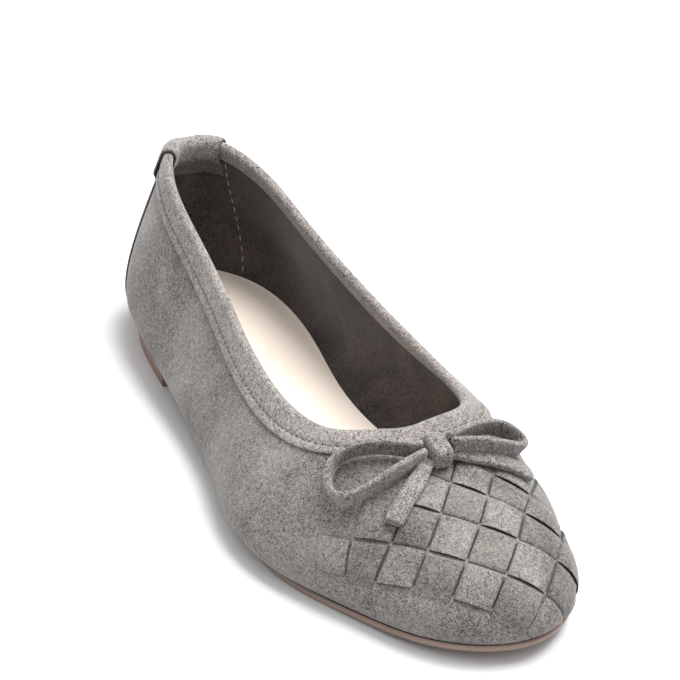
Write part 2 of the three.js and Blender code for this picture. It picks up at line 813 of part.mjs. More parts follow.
// Sections of a strip along points. up gives the direction of its width.
function ribbonRings(path, width, thick) {
  const flat = 0.15;
  const long = 0.36;
  const section = [
    [-0.5, -flat], [-0.5, flat], [-long, 0.5], [long, 0.5],
    [0.5, flat], [0.5, -flat], [long, -0.5], [-long, -0.5],
  ];
  return path.map(({ point, up, share = 1 }, i) => {
    const before = path[Math.max(0, i - 1)].point;
    const after = path[Math.min(path.length - 1, i + 1)].point;
    const forward = after.clone().sub(before).normalize();
    const side = forward.clone().cross(up).normalize();
    const lift = side.clone().cross(forward).normalize();
    return section.map(([a, b]) => point.clone()
      .addScaledVector(lift, a * width * share)
      .addScaledVector(side, b * thick));
  });
}

// Teardrop loop standing on its edge over the vamp. Its strands meet near the knot, so they are joined as solids.
function bowLoop({ name, tipX, tipY, spread, lift }) {
  const seat = GAP + BINDING + RIBBON_WIDTH / 2;
  const from = v3(KNOT_AT.x * LENGTH, KNOT_AT.y * HALF_WIDTH, 0);
  const axis = v3(tipX * LENGTH, tipY * HALF_WIDTH, 0).sub(from);
  const sideways = v3(-axis.y, axis.x, 0).normalize();
  const path = [];
  for (let i = 0; i <= LOOP_STEPS; i++) {
    const turn = mix(LOOP_START, 1 - LOOP_START, i / LOOP_STEPS);
    const out = Math.sin(Math.PI * turn) ** 0.8;
    const wide = Math.sin(2 * Math.PI * turn) * spread * HALF_WIDTH;
    const place = from.clone().addScaledVector(axis, out).addScaledVector(sideways, wide);
    const rise = seat + mix(lift, TIP_LIFT, out);
    const { point, out: up } = overVamp(place.x, place.y, rise);
    path.push({ point, up });
  }
  const rings = ribbonRings(path, RIBBON_WIDTH, RIBBON_THICK);
  const tip = LOOP_STEPS / 2;
  const strands = [rings.slice(0, tip + 1), rings.slice(tip)].map((half) => toManifold(skinRings(half, false)));
  let body = clearOfKnot(strands[0].add(strands[1]));
  for (const tail of BOW_TAILS) body = body.subtract(toManifold(tailStrip(tail, GAP)));
  return piece(name, fromManifold(body.simplify(CUT_TOLERANCE)), material.binding);
}

// Tail lying flat on the vamp, narrower where it leaves the knot.
// A clearance makes it larger when it cuts the loops.
function tailStrip({ start, bend, end: tip }, clearance) {
  const places = [start, bend, tip].map(([x, y]) => v3(x * LENGTH, y * HALF_WIDTH, 0));
  const curve = new THREE.QuadraticBezierCurve3(...places);
  const path = [];
  for (let i = 0; i <= TAIL_STEPS; i++) {
    const s = i / TAIL_STEPS;
    const place = curve.getPoint(s);
    const raised = TAIL_RAISED * (1 - smooth(3 * s));
    const { point, out } = overVamp(place.x, place.y, STRIP_RISE + GAP + RIBBON_THICK / 2 + raised);
    const along = curve.getTangent(s);
    path.push({ point, up: out.clone().cross(along), share: mix(TAIL_NECK, 1, smooth(2.5 * s)) });
  }
  for (const [end, next] of [[path[0], path[1]], [path.at(-1), path.at(-2)]]) {
    const outwards = end.point.clone().sub(next.point).normalize();
    end.point.addScaledVector(outwards, clearance);
  }
  return skinRings(ribbonRings(path, TAIL_WIDTH + 2 * clearance, RIBBON_THICK + 2 * clearance), false);
}

function bowTail(tail) {
  return piece(tail.name, fromManifold(clearOfKnot(toManifold(tailStrip(tail, 0)))), material.binding);
}

// Knot: a rounded block that the loops and tails run into, made larger by a clearance when it cuts them
function knotBlock(clearance) {
  const rise = GAP + STRIP_RISE + KNOT_HEIGHT / 2;
  const { point, out } = overVamp(KNOT_AT.x * LENGTH, KNOT_AT.y * HALF_WIDTH, rise);
  const block = new THREE.SphereGeometry(1, 14, 8);
  block.deleteAttribute('normal');
  block.deleteAttribute('uv');
  const soft = (value) => Math.sign(value) * Math.abs(value) ** 0.6;
  const along = v3(0, 1, 0).addScaledVector(out, -out.y).normalize();
  const side = along.clone().cross(out);
  const round = mergeVertices(block);
  const places = round.attributes.position;
  for (let i = 0; i < places.count; i++) {
    const p = point.clone()
      .addScaledVector(along, soft(places.getX(i)) * (KNOT_LENGTH / 2 + clearance))
      .addScaledVector(side, soft(places.getZ(i)) * (KNOT_WIDTH / 2 + clearance))
      .addScaledVector(out, soft(places.getY(i)) * (KNOT_HEIGHT / 2 + clearance));
    places.setXYZ(i, p.x, p.y, p.z);
  }
  return round;
}

function clearOfKnot(body) {
  return body.subtract(meshManifold(knotBlock(GAP)));
}

const shoe = new THREE.Group();
shoe.add(outsole(), heelBlock(), insole(), upper(), toplineBinding(), heelStay());
shoe.add(piece('bow_knot', knotBlock(0), material.binding));
for (const loop of BOW_LOOPS) shoe.add(bowLoop(loop));
for (const tail of BOW_TAILS) shoe.add(bowTail(tail));

// Origin at the middle of the footprint, on the floor
const box = new THREE.Box3().setFromObject(shoe);
shoe.position.set(-(box.min.x + box.max.x) / 2, -(box.min.y + box.max.y) / 2, -box.min.z);

export default shoe;
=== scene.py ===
"""Looks of a ballet flat for the right foot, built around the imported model."""

import math

import bpy
import numpy as np
from mathutils import Matrix, Vector


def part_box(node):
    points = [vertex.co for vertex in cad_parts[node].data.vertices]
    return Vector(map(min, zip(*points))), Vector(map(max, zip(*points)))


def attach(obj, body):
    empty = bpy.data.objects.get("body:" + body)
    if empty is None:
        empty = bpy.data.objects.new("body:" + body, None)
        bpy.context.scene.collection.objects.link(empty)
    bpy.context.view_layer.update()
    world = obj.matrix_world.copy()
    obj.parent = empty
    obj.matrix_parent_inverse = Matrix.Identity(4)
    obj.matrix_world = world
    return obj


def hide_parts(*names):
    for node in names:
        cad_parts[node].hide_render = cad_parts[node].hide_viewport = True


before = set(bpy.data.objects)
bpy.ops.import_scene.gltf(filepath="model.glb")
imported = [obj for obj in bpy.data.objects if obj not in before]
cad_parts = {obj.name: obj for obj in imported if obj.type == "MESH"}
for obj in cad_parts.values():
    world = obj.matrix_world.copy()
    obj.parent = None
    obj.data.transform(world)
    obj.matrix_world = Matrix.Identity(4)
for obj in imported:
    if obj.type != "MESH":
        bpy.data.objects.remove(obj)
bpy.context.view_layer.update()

# Sizes in millimetres, as in the part's source. X runs from heel to toe, +Y is the inner side.
MM = 0.001
LENGTH = 250.0
HALF_WIDTH = 42.0
BACK_HEIGHT = 66.0
HEEL_LIFT = 9.0
PLATE = 2.2
TOE_SPRING = 5.3
SWING = 6.1
WALL = 1.9
RIM_WALL = 1.3
GAP = 0.3
WELT = 1.0
INSOLE = 2.4
COUNTER = 5.0
ARCH_START = 0.12
ARCH_END = 0.54
SPRING_START = 0.76
SWING_START = 0.3
HEEL_BREAST = 0.24
HEEL_TAPER = 2.6
HEEL_INSET = 0.4

# Where the counter ends: stations round from the heel, and share of the wall's height
COUNTER_END = 3.5
COUNTER_FADE = 2.5
COUNTER_TOP = 0.6
# Shares of the wall's height where it thins, where the lining stops lying level, and where the stay flares
WALL_THINS = 0.7
LEVEL_BELOW = 0.25
STAY_FLARE = 0.08

STITCH_DEPTH = 6.0
STAY_TOP = 11.5
STAY_FOOT_LATERAL = 27.5
STAY_FOOT_MEDIAL = 22.0

# Plan of the sole edge: share of the length, then lateral and medial shares of the half width
SOLE_ROWS = (
    (0.0, 0.0, 0.0),
    (0.035, 0.41, 0.41),
    (0.115, 0.67, 0.625),
    (0.24, 0.765, 0.62),
    (0.38, 0.86, 0.52),
    (0.51, 0.985, 0.58),
    (0.63, 1.115, 0.76),
    (0.735, 1.125, 0.91),
    (0.845, 0.88, 0.865),
    (0.947, 0.57, 0.6),
    (1.0, 0.0, 0.0),
)

# Topline: the same columns, then height as a share of the back height
TOP_ROWS = (
    (0.021, 0.0, 0.0, 0.966),
    (0.037, 0.209, 0.226, 0.976),
    (0.117, 0.398, 0.443, 0.912),
    (0.235, 0.47, 0.52, 0.812),
    (0.351, 0.55, 0.583, 0.732),
    (0.456, 0.642, 0.66, 0.658),
    (0.565, 0.686, 0.715, 0.611),
    (0.644, 0.627, 0.664, 0.615),
    (0.678, 0.471, 0.486, 0.632),
    (0.687, 0.257, 0.238, 0.629),
    (0.689, 0.0, 0.0, 0.611),
)

# Fullness of the last: bulge, wall height, roof reach and roof fall, as in the part's source
LATERAL_RIBS = (
    (0.25, 0.06, 0.1, 0.258),
    (0.25, 0.055, 0.1, 0.258),
    (0.28, 0.05, 0.09, 0.258),
    (0.33, 0.05, 0.1, 0.242),
    (0.285, 0.055, 0.14, 0.227),
    (0.3, 0.06, 0.18, 0.189),
    (0.44, 0.06, 0.28, 0.144),
    (0.36, 0.09, 0.381, 0.098),
    (0.25, 0.15, 0.548, 0.083),
    (0.26, 0.18, 0.755, 0.076),
    (0.25, 0.24, 0.875, 0.071),
)
MEDIAL_RIBS = (
    (0.25, 0.06, 0.1, 0.258),
    (0.25, 0.06, 0.1, 0.258),
    (0.26, 0.08, 0.1, 0.258),
    (0.26, 0.09, 0.12, 0.242),
    (0.27, 0.1, 0.119, 0.227),
    (0.27, 0.1, 0.119, 0.197),
    (0.26, 0.1, 0.214, 0.136),
    (0.25, 0.12, 0.357, 0.098),
    (0.24, 0.18, 0.548, 0.08),
    (0.25, 0.24, 0.785, 0.076),
    (0.25, 0.24, 0.875, 0.071),
)

# Weave: lines between strips on the unrolled vamp, as shares of the half width from the throat
STRIP_LINES = (-0.25, 0.085, 0.375, 0.715, 1.055, 1.347)
STRIP_LEANS = (0.0, 0.0, -0.05, -0.075, -0.035, 0.0)
CROSS_LINES = (-0.135, 0.12, 0.38, 0.64, 0.932, 1.222, 1.53, 2.185)
CROSS_LEANS = (0.32, 0.26, 0.12, 0.12, 0.11, 0.1, 0.08, 0.05)
STRIP_EDGES = np.array(STRIP_LINES) * HALF_WIDTH
CROSS_EDGES = np.array(CROSS_LINES) * HALF_WIDTH
STRIP_MIDDLE = 0.6
CROSS_MIDDLE = 1.07
# For each strip, the first and the last cross space that shows
WEAVE_ROWS = ((4, 5), (2, 6), (2, 6), (1, 6), (0, 6))

STATIONS = 2 * (len(SOLE_ROWS) - 1)
STEP = 0.001
ROUND_STEPS = 520


def smooth(value):
    s = np.clip(value, 0.0, 1.0)
    return s * s * (3.0 - 2.0 * s)


def mix(a, b, share):
    return a + (b - a) * share


def paired(a, b):
    return np.broadcast_arrays(np.asarray(a, float), np.asarray(b, float))


def halved(low, high, steps, below):
    """Where below(value) turns from true to false between low and high, by halving."""
    for _ in range(steps):
        middle = (low + high) / 2
        under = below(middle)
        low = np.where(under, middle, low)
        high = np.where(under, high, middle)
    return low


def closed_curve(rows):
    """Smooth closed curve through rows of numbers, one unit of the parameter for each row."""
    rows = np.array(rows, float)
    slopes = np.zeros_like(rows)
    for _ in range(60):
        rise = 3 * (np.roll(rows, -1, 0) - np.roll(rows, 1, 0))
        slopes = (rise - np.roll(slopes, -1, 0) - np.roll(slopes, 1, 0)) / 4

    def at(t):
        t = np.asarray(t, float)
        whole = np.floor(t)
        s = (t - whole)[..., None]
        i = whole.astype(int) % len(rows)
        j = (i + 1) % len(rows)
        start = (2 * s**3 - 3 * s**2 + 1) * rows[i] + (s**3 - 2 * s**2 + s) * slopes[i]
        return start + (3 * s**2 - 2 * s**3) * rows[j] + (s**3 - s**2) * slopes[j]

    return at


def swing_at(share):
    return SWING * max(0.0, (share - SWING_START) / (1 - SWING_START)) ** 1.5


def around_shoe(lateral, medial):
    """Rows from the heel along the lateral side to the toe, then back along the medial side."""
    return list(lateral) + list(medial)[-2:0:-1]


def plan_rows(rows, column, side):
    """Plan places of a table's rows on one side, with the heights that the table has."""
    places = []
    for row in rows:
        x = (row[0] - 0.5) * LENGTH
        y = side * row[column] * HALF_WIDTH + swing_at(row[0])
        places.append([x, y] + [height * BACK_HEIGHT for height in row[3:]])
    return places


def plan_curve(rows):
    return closed_curve(around_shoe(plan_rows(rows, 1, -1), plan_rows(rows, 2, 1)))


sole_curve = plan_curve(SOLE_ROWS)
top_curve = plan_curve(TOP_ROWS)
RIB_SCALE = np.array([HALF_WIDTH, BACK_HEIGHT, HALF_WIDTH, BACK_HEIGHT])
rib_curve = closed_curve(np.array(around_shoe(LATERAL_RIBS, MEDIAL_RIBS)) * RIB_SCALE)


def unit(vectors):
    return vectors / np.linalg.norm(vectors, axis=-1, keepdims=True)


def plan_normal(curve, t):
    """Outward direction of a plan curve."""
    run = curve(t + STEP)[..., :2] - curve(t - STEP)[..., :2]
    flat = np.stack([run[..., 1], -run[..., 0], np.zeros(run.shape[:-1])], -1)
    return unit(flat)


def tread_height(x):
    """Underside of the sole plate above the floor."""
    share = x / LENGTH + 0.5
    arch = HEEL_LIFT * (1 - smooth((share - ARCH_START) / (ARCH_END - ARCH_START)))
    spring = TOE_SPRING * np.maximum(0, (share - SPRING_START) / (1 - SPRING_START)) ** 2
    return arch + spring


def sole_edge(t, inset):
    flat = sole_curve(t)
    place = np.concatenate([flat, np.zeros(flat.shape[:-1] + (1,))], -1)
    return place - plan_normal(sole_curve, t) * np.asarray(inset, float)[..., None]


def outer(t, v):
    """Outside of the upper: t goes round the shoe, v from the feather edge (0) to the topline (1)."""
    t, v = paired(t, v)
    rib = rib_curve(t)
    foot = sole_edge(t, WELT)
    foot[..., 2] = tread_height(foot[..., 0]) + PLATE + GAP
    top_out = plan_normal(top_curve, t)
    rim_edge = top_curve(t) + top_out * RIM_WALL / 2
    side = foot + plan_normal(sole_curve, t) * rib[..., 0:1]
    side[..., 2] += rib[..., 1]
    roof = rim_edge + top_out * rib[..., 2:3]
    roof[..., 2] -= rib[..., 3]
    v = v[..., None]
    w = 1 - v
    return foot * w**3 + side * 3 * v * w * w + roof * 3 * v * v * w + rim_edge * v**3


def tangent_up(t, v):
    return unit(outer(t, v + STEP) - outer(t, v - STEP))


def outward(t, v):
    return unit(np.cross(outer(t + STEP, v) - outer(t - STEP, v), tangent_up(t, v)))


def skin(t, v, rise):
    return outer(t, v) + outward(t, v) * np.asarray(rise, float)[..., None]


def wall_at(v):
    return mix(WALL, RIM_WALL, smooth((np.asarray(v, float) - WALL_THINS) / (1 - WALL_THINS)))


def inner(t, v, depth):
    """Lining side of the wall, moved further in by depth. Near the feather edge the direction is level."""
    t, v = paired(t, v)
    out = outward(t, v)
    out[..., 2] *= smooth(v / LEVEL_BELOW)
    from_back = np.minimum(np.mod(t, STATIONS), STATIONS - np.mod(t, STATIONS))
    counter = COUNTER * smooth((COUNTER_END - from_back) / COUNTER_FADE) * smooth(1 - v / COUNTER_TOP)
    reach = wall_at(v) + counter + depth
    return outer(t, v) - unit(out) * reach[..., None]


def rim(t, degrees, rise):
    """Rolled edge at the topline: 0 degrees is outside, 180 inside."""
    out = outward(t, np.ones_like(t))
    up = tangent_up(t, np.ones_like(t))
    radius = (RIM_WALL / 2 + np.asarray(rise, float))[..., None]
    turn = math.radians(degrees)
    middle = outer(t, np.ones_like(t)) - out * RIM_WALL / 2
    return middle + out * radius * math.cos(turn) + up * radius * math.sin(turn)


class RimDepth:
    """Values of v at distances down from the topline along the wall, for fixed places round the shoe."""

    def __init__(self, t):
        self.v = np.linspace(1.0, 0.0, 161)
        points = outer(np.asarray(t)[:, None], self.v[None, :])
        steps = np.linalg.norm(np.diff(points, axis=1), axis=-1)
        self.gone = np.concatenate([np.zeros((len(steps), 1)), np.cumsum(steps, 1)], 1)

    def at(self, distance):
        distance = np.broadcast_to(distance, (len(self.gone),))
        return np.array([np.interp(d, gone, self.v) for d, gone in zip(distance, self.gone)])


def unrolled(t, v):
    """The vamp laid flat: each rib laid out straight from the topline."""
    t, v = paired(t, v)
    steps = 8
    shares = np.linspace(0, 1, steps + 1)
    points = outer(t[..., None], v[..., None] + (1 - v[..., None]) * shares)
    length = np.linalg.norm(np.diff(points, axis=-2), axis=-1).sum(-1)
    top = outer(t, np.ones_like(t))[..., :2]
    foot = outer(t, np.zeros_like(t))[..., :2]
    reach = np.where(v > 1, -length, length)
    return top + unit(foot - top) * reach[..., None]


THROAT = (TOP_ROWS[-1][0] - 0.5) * LENGTH
LEAN_STEPS = 40
LEAN_STEP_SHARE = 0.7


def strip_shift(a, b):
    """How far the lean of the strip lines moves a place across them."""
    return np.interp(a / HALF_WIDTH, STRIP_LINES, STRIP_LEANS) * (b - STRIP_MIDDLE * HALF_WIDTH)


def cross_shift(a, b):
    """How far the lean of the cross lines moves a place along the strips."""
    return np.interp(b / HALF_WIDTH, CROSS_LINES, CROSS_LEANS) * (a - CROSS_MIDDLE * HALF_WIDTH)


def weave_at(t, v):
    """Place in the weave, a across the strips and b along them, in millimetres."""
    flat = unrolled(t, v)
    x = flat[..., 0] - THROAT
    y = flat[..., 1]
    across = (x - y) * math.sqrt(0.5)
    along = (x + y) * math.sqrt(0.5)
    a, b = across, along
    for _ in range(LEAN_STEPS):
        a = mix(a, across - strip_shift(a, b), LEAN_STEP_SHARE)
        b = mix(b, along - cross_shift(a, b), LEAN_STEP_SHARE)
    return a, b


def place_on(mapping, targets):
    """Places t, v on the vamp whose mapped plan point is each target, by Newton steps."""
    grid_t, grid_v = np.meshgrid(np.arange(STATIONS * 0.28, STATIONS * 0.72, 0.2), np.linspace(0, 1, 12))
    grid_t, grid_v = grid_t.ravel(), grid_v.ravel()
    known = mapping(grid_t, grid_v)[..., :2]
    far = ((targets[:, None, :] - known[None]) ** 2).sum(-1)
    best = far.argmin(1)
    t, v = grid_t[best], grid_v[best]
    step = 0.002
    for _ in range(10):
        here = mapping(t, v)[..., :2]
        along = (mapping(t + step, v)[..., :2] - here) / step
        up = (mapping(t, v + step)[..., :2] - here) / step
        det = along[:, 0] * up[:, 1] - up[:, 0] * along[:, 1]
        miss = targets - here
        t += np.clip((up[:, 1] * miss[:, 0] - up[:, 0] * miss[:, 1]) / det, -0.5, 0.5)
        v += np.clip((along[:, 0] * miss[:, 1] - along[:, 1] * miss[:, 0]) / det, -0.2, 0.2)
    return t, v


def weave_place(a, b):
    """Places t, v for points of the weave."""
    a, b = paired(a, b)
    across = a + strip_shift(a, b)
    along = b + cross_shift(a, b)
    flat = np.stack([THROAT + (across + along) * math.sqrt(0.5), (along - across) * math.sqrt(0.5)], -1)
    t, v = place_on(unrolled, flat.reshape(-1, 2))
    return t.reshape(a.shape), v.reshape(a.shape)


# The part's source centres the shoe on its box, so the sole plate says how far
ring_80 = np.arange(80) * STATIONS / 80
plate_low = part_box("outsole")[0] / MM
own_low = sole_edge(ring_80, 0.0).min(0)
SHIFT = np.array([plate_low.x - own_low[0], plate_low.y - own_low[1], 0.0])


def to_frame(points):
    """Millimetres of the last to metres of the frame."""
    return (np.asarray(points, float) + SHIFT) * MM


def volume_of(points, faces):
    total = 0.0
    for face in faces:
        a = points[face[0]]
        for k in range(1, len(face) - 1):
            total += np.dot(a, np.cross(points[face[k]], points[face[k + 1]]))
    return total / 6


def band_faces(rings, size, wrap=True):
    """Quads between successive rings of points."""
    i = np.arange(rings if wrap else rings - 1)
    k = np.arange(size)
    i, k = np.meshgrid(i, k, indexing="ij")
    m = (k + 1) % size
    n = (i + 1) % rings
    quads = np.stack([i * size + k, i * size + m, n * size + m, n * size + k], -1)
    return quads.reshape(-1, 4).tolist()


def strip_faces(rings, count):
    """Faces of a strip with closed ends. A ring has count points on the face, then count on the back."""
    size = 2 * count
    faces = band_faces(rings, size, wrap=False)
    for start, flip in ((0, True), ((rings - 1) * size, False)):
        for k in range(count - 1):
            quad = [start + k, start + k + 1, start + size - 2 - k, start + size - 1 - k]
            faces.append(quad[::-1] if flip else quad)
    return faces


def put(name, data):
    """A new object in the scene."""
    thing = bpy.data.objects.new(name, data)
    bpy.context.scene.collection.objects.link(thing)
    return thing


def direction(azimuth, elevation):
    """Direction towards the eye from angles in degrees, with 0 in front."""
    a, e = math.radians(azimuth), math.radians(elevation)
    return Vector((math.sin(a) * math.cos(e), -math.cos(a) * math.cos(e), math.sin(e)))


def new_piece(name, points, faces, finish, replaced=(), masks=None):
    """A smooth mesh piece in the frame. masks are named numbers for each point."""
    points = np.asarray(points, float).reshape(-1, 3)
    if volume_of(points - points.mean(0), faces) < 0:
        faces = [face[::-1] for face in faces]
    mesh = bpy.data.meshes.new(name)
    mesh.from_pydata(to_frame(points).tolist(), [], faces)
    for mask, values in (masks or {}).items():
        attribute = mesh.attributes.new(mask, "FLOAT", "POINT")
        attribute.data.foreach_set("value", np.asarray(values, np.float32).ravel())
    mesh.shade_smooth()
    mesh.materials.append(finish)
    piece = put(name, mesh)
    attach(piece, "root")
    if replaced:
        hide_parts(*replaced)
    return piece


def fill(node, values):
    for name, value in values.items():
        node.inputs[name].default_value = value


# Shader node helpers
class Nodes:
    def __init__(self, tree):
        self.tree = tree

    def add(self, kind, **settings):
        node = self.tree.nodes.new(kind)
        for key, value in settings.items():
            setattr(node, key, value)
        return node

    def link(self, start, end):
        self.tree.links.new(start, end)

    def weigh(self, a, share_a, b, share_b):
        return self.math("ADD", self.math("MULTIPLY", a, share_a), self.math("MULTIPLY", b, share_b))

    def noise(self, vector, scale, detail=2.0, roughness=0.5, distortion=0.0):
        node = self.add("ShaderNodeTexNoise")
        self.link(vector, node.inputs["Vector"])
        fill(node, {"Scale": scale, "Detail": detail, "Roughness": roughness, "Distortion": distortion})
        return node.outputs["Fac"]

    def math(self, operation, a, b, clamp=False):
        node = self.add("ShaderNodeMath", operation=operation, use_clamp=clamp)
        for socket, value in zip(node.inputs, (a, b)):
            if isinstance(value, (int, float)):
                socket.default_value = value
            else:
                self.link(value, socket)
        return node.outputs[0]

    def span(self, value, low, high, to_low=0.0, to_high=1.0):
        node = self.add("ShaderNodeMapRange")
        self.link(value, node.inputs["Value"])
        fill(node, {"From Min": low, "From Max": high, "To Min": to_low, "To Max": to_high})
        return node.outputs["Result"]

    def blend(self, share, a, b):
        node = self.add("ShaderNodeMix", data_type="RGBA")
        for socket, value in zip((node.inputs["Factor"], node.inputs[6], node.inputs[7]), (share, a, b)):
            if isinstance(value, tuple):
                socket.default_value = (*value, 1.0)
            else:
                self.link(value, socket)
        return node.outputs[2]


def colour(red, green, blue):
    """Display colour of 0 to 255 as the linear values that the shader takes."""
    shares = np.array([red, green, blue]) / 255
    curved = ((shares + 0.055) / 1.055) ** 2.4
    return tuple(float(c) for c in np.where(shares <= 0.04045, shares / 12.92, curved))


def add_sockets(tree, way, kinds):
    for name, kind in kinds.items():
        tree.interface.new_socket(name, in_out=way, socket_type="NodeSocket" + kind)


def nap_group():
    """Brushed nap: fine fibre speckle over soft cloudy patches, with a height for the bump."""
    tree = bpy.data.node_groups.new("suede nap", "ShaderNodeTree")
    add_sockets(tree, "INPUT", {"Dark": "Color", "Light": "Color", "Speckle": "Float", "Clouds": "Float"})
    add_sockets(tree, "OUTPUT", {"Color": "Color", "Height": "Float"})
    nodes = Nodes(tree)
    start = nodes.add("NodeGroupInput")
    end = nodes.add("NodeGroupOutput")
    place = nodes.add("ShaderNodeTexCoord").outputs["Object"]
    fibre = nodes.noise(place, 1900, detail=3, roughness=0.7)
    tuft = nodes.noise(place, 900, detail=2, roughness=0.6, distortion=1.2)
    cloud = nodes.noise(place, 42, detail=3, roughness=0.55, distortion=0.6)
    brush = nodes.noise(place, 11, detail=2, roughness=0.5, distortion=0.8)
    fine = nodes.weigh(fibre, 0.6, tuft, 0.4)
    speckle = nodes.math("MULTIPLY", nodes.math("SUBTRACT", fine, 0.5), start.outputs["Speckle"])
    broad = nodes.weigh(cloud, 0.6, brush, 0.4)
    clouds = nodes.math("MULTIPLY", nodes.math("SUBTRACT", broad, 0.5), start.outputs["Clouds"])
    share = nodes.math("ADD", nodes.math("ADD", speckle, clouds), 0.5, clamp=True)
    nodes.link(nodes.blend(share, start.outputs["Dark"], start.outputs["Light"]), end.inputs["Color"])
    nodes.link(fine, end.inputs["Height"])
    return tree


NAP = nap_group()


def new_finish(name):
    finish = bpy.data.materials.new(name)
    finish.use_nodes = True
    nodes = Nodes(finish.node_tree)
    shader = finish.node_tree.nodes["Principled BSDF"]
    return finish, nodes, shader


def bump(nodes, shader, height, distance, strength=1.0):
    node = nodes.add("ShaderNodeBump")
    fill(node, {"Strength": strength, "Distance": distance})
    nodes.link(height, node.inputs["Height"])
    nodes.link(node.outputs["Normal"], shader.inputs["Normal"])


def suede(name, dark, light, cut_and_shade, speckle=3.6, clouds=1.6):
    """Suede with a nap. Points where the edge mask is 1 take the dark colour: the cut edge's own darker
    fibre, and painted shade in gaps, creases and recesses.
    """
    finish, nodes, shader = new_finish(name)
    nap = nodes.add("ShaderNodeGroup", node_tree=NAP)
    fill(nap, {"Dark": (*dark, 1), "Light": (*light, 1), "Speckle": speckle, "Clouds": clouds})
    edge = nodes.add("ShaderNodeAttribute", attribute_name="edge").outputs["Fac"]
    nodes.link(nodes.blend(edge, nap.outputs["Color"], cut_and_shade), shader.inputs["Base Color"])
    fill(shader, {"Roughness": 0.95, "Specular IOR Level": 0.15})
    fill(shader, {"Sheen Weight": 0.25, "Sheen Roughness": 0.45})
    bump(nodes, shader, nap.outputs["Height"], 0.0004, 0.6)
    return finish


def leather(name, dark, light, roughness, grain_scale, depth):
    """Smooth leather: fine pores and a slow drift of tone."""
    finish, nodes, shader = new_finish(name)
    place = nodes.add("ShaderNodeTexCoord").outputs["Object"]
    drift = nodes.noise(place, 30, detail=3, roughness=0.5)
    pores = nodes.noise(place, grain_scale, detail=3, roughness=0.6)
    share = nodes.weigh(drift, 0.7, pores, 0.3)
    nodes.link(nodes.blend(nodes.span(share, 0.3, 0.7), dark, light), shader.inputs["Base Color"])
    nodes.link(nodes.span(pores, 0.2, 0.8, roughness - 0.06, roughness + 0.06), shader.inputs["Roughness"])
    bump(nodes, shader, pores, depth)
    return finish


def stacked_leather():
    """Leather lifts seen from the side: fine level streaks."""
    finish, nodes, shader = new_finish("stacked leather")
    coordinates = nodes.add("ShaderNodeTexCoord")
    stretch = nodes.add("ShaderNodeMapping")
    stretch.inputs["Scale"].default_value = (60, 60, 1400)
    nodes.link(coordinates.outputs["Object"], stretch.inputs["Vector"])
    streak = nodes.noise(stretch.outputs["Vector"], 1.0, detail=3, roughness=0.6)
    seam = nodes.add("ShaderNodeAttribute", attribute_name="edge").outputs["Fac"]
    body = nodes.blend(nodes.span(streak, 0.3, 0.7), colour(96, 72, 60), colour(132, 104, 88))
    nodes.link(nodes.blend(seam, body, colour(60, 42, 34)), shader.inputs["Base Color"])
    shader.inputs["Roughness"].default_value = 0.5
    bump(nodes, shader, streak, 0.0001)
    return finish


def thread_finish(name, tone):
    finish, nodes, shader = new_finish(name)
    place = nodes.add("ShaderNodeTexCoord").outputs["Object"]
    twist = nodes.noise(place, 3000, detail=1)
    darker = tuple(0.7 * c for c in tone)
    nodes.link(nodes.blend(twist, darker, tone), shader.inputs["Base Color"])
    shader.inputs["Roughness"].default_value = 0.7
    bump(nodes, shader, twist, 0.0001)
    return finish


# Dark colours where the edge mask is 1: the cut edge's own darker fibre, and painted shade in gaps, creases
# and recesses.
CUT_AND_SHADE_SUEDE = colour(22, 19, 18)
CUT_AND_SHADE_TRIM = colour(34, 30, 28)
SUEDE = suede("grey suede", colour(46, 43, 41), colour(142, 137, 133), CUT_AND_SHADE_SUEDE)
# The cross strips take a darker copy of the same suede: painted shade for their nap turned from the light.
SHADED_CROSS_SUEDE = suede("grey suede, cross strips, painted shade", colour(42, 39, 37), colour(128, 123, 119), CUT_AND_SHADE_SUEDE)
TRIM = suede("grey suede trim", colour(56, 52, 50), colour(156, 150, 146), CUT_AND_SHADE_TRIM, 4.0, 0.8)
BOW_SUEDE = suede("grey suede bow", colour(44, 41, 39), colour(146, 140, 136), CUT_AND_SHADE_TRIM, 4.6, 0.6)
LINING = suede("lining", colour(30, 26, 24), colour(84, 75, 70), CUT_AND_SHADE_SUEDE, 3.4, 2.4)
SOCK = leather("sock leather", colour(226, 211, 198), colour(240, 226, 213), 0.5, 700, 0.00005)
SOLE = leather("sole leather", colour(112, 92, 84), colour(134, 112, 102), 0.45, 900, 0.0001)
HEEL = stacked_leather()
THREAD = thread_finish("grey thread", colour(84, 80, 77))
PALE_THREAD = thread_finish("pale thread", colour(176, 164, 152))

around = np.arange(ROUND_STEPS) * STATIONS / ROUND_STEPS
depth_around = RimDepth(around)


# The leather is let down under the strips, from a distance inside the woven cells and over a run
RECESS = 0.8
RECESS_FROM = 4.0
RECESS_RUN = 2.0
COVER_SPREAD = 3.0
FAR_OUTSIDE = -50.0
# Shares of the wall's thickness that the leather and the lining fill
LEATHER_SHARE = 0.55
LINING_SHARE = 0.5


def weave_cover(a, b):
    """How far a place lies inside the woven cells, in millimetres, below zero outside."""
    inside = np.full(np.shape(a), FAR_OUTSIDE)
    for strip, (first, last) in enumerate(WEAVE_ROWS):
        low_a, high_a = STRIP_EDGES[strip : strip + 2]
        low_b, high_b = CROSS_EDGES[first], CROSS_EDGES[last + 1]
        here = np.minimum(
            np.minimum(a - low_a + COVER_SPREAD, high_a + COVER_SPREAD - a),
            np.minimum(b - low_b, high_b - b),
        )
        inside = np.maximum(inside, here)
    return inside


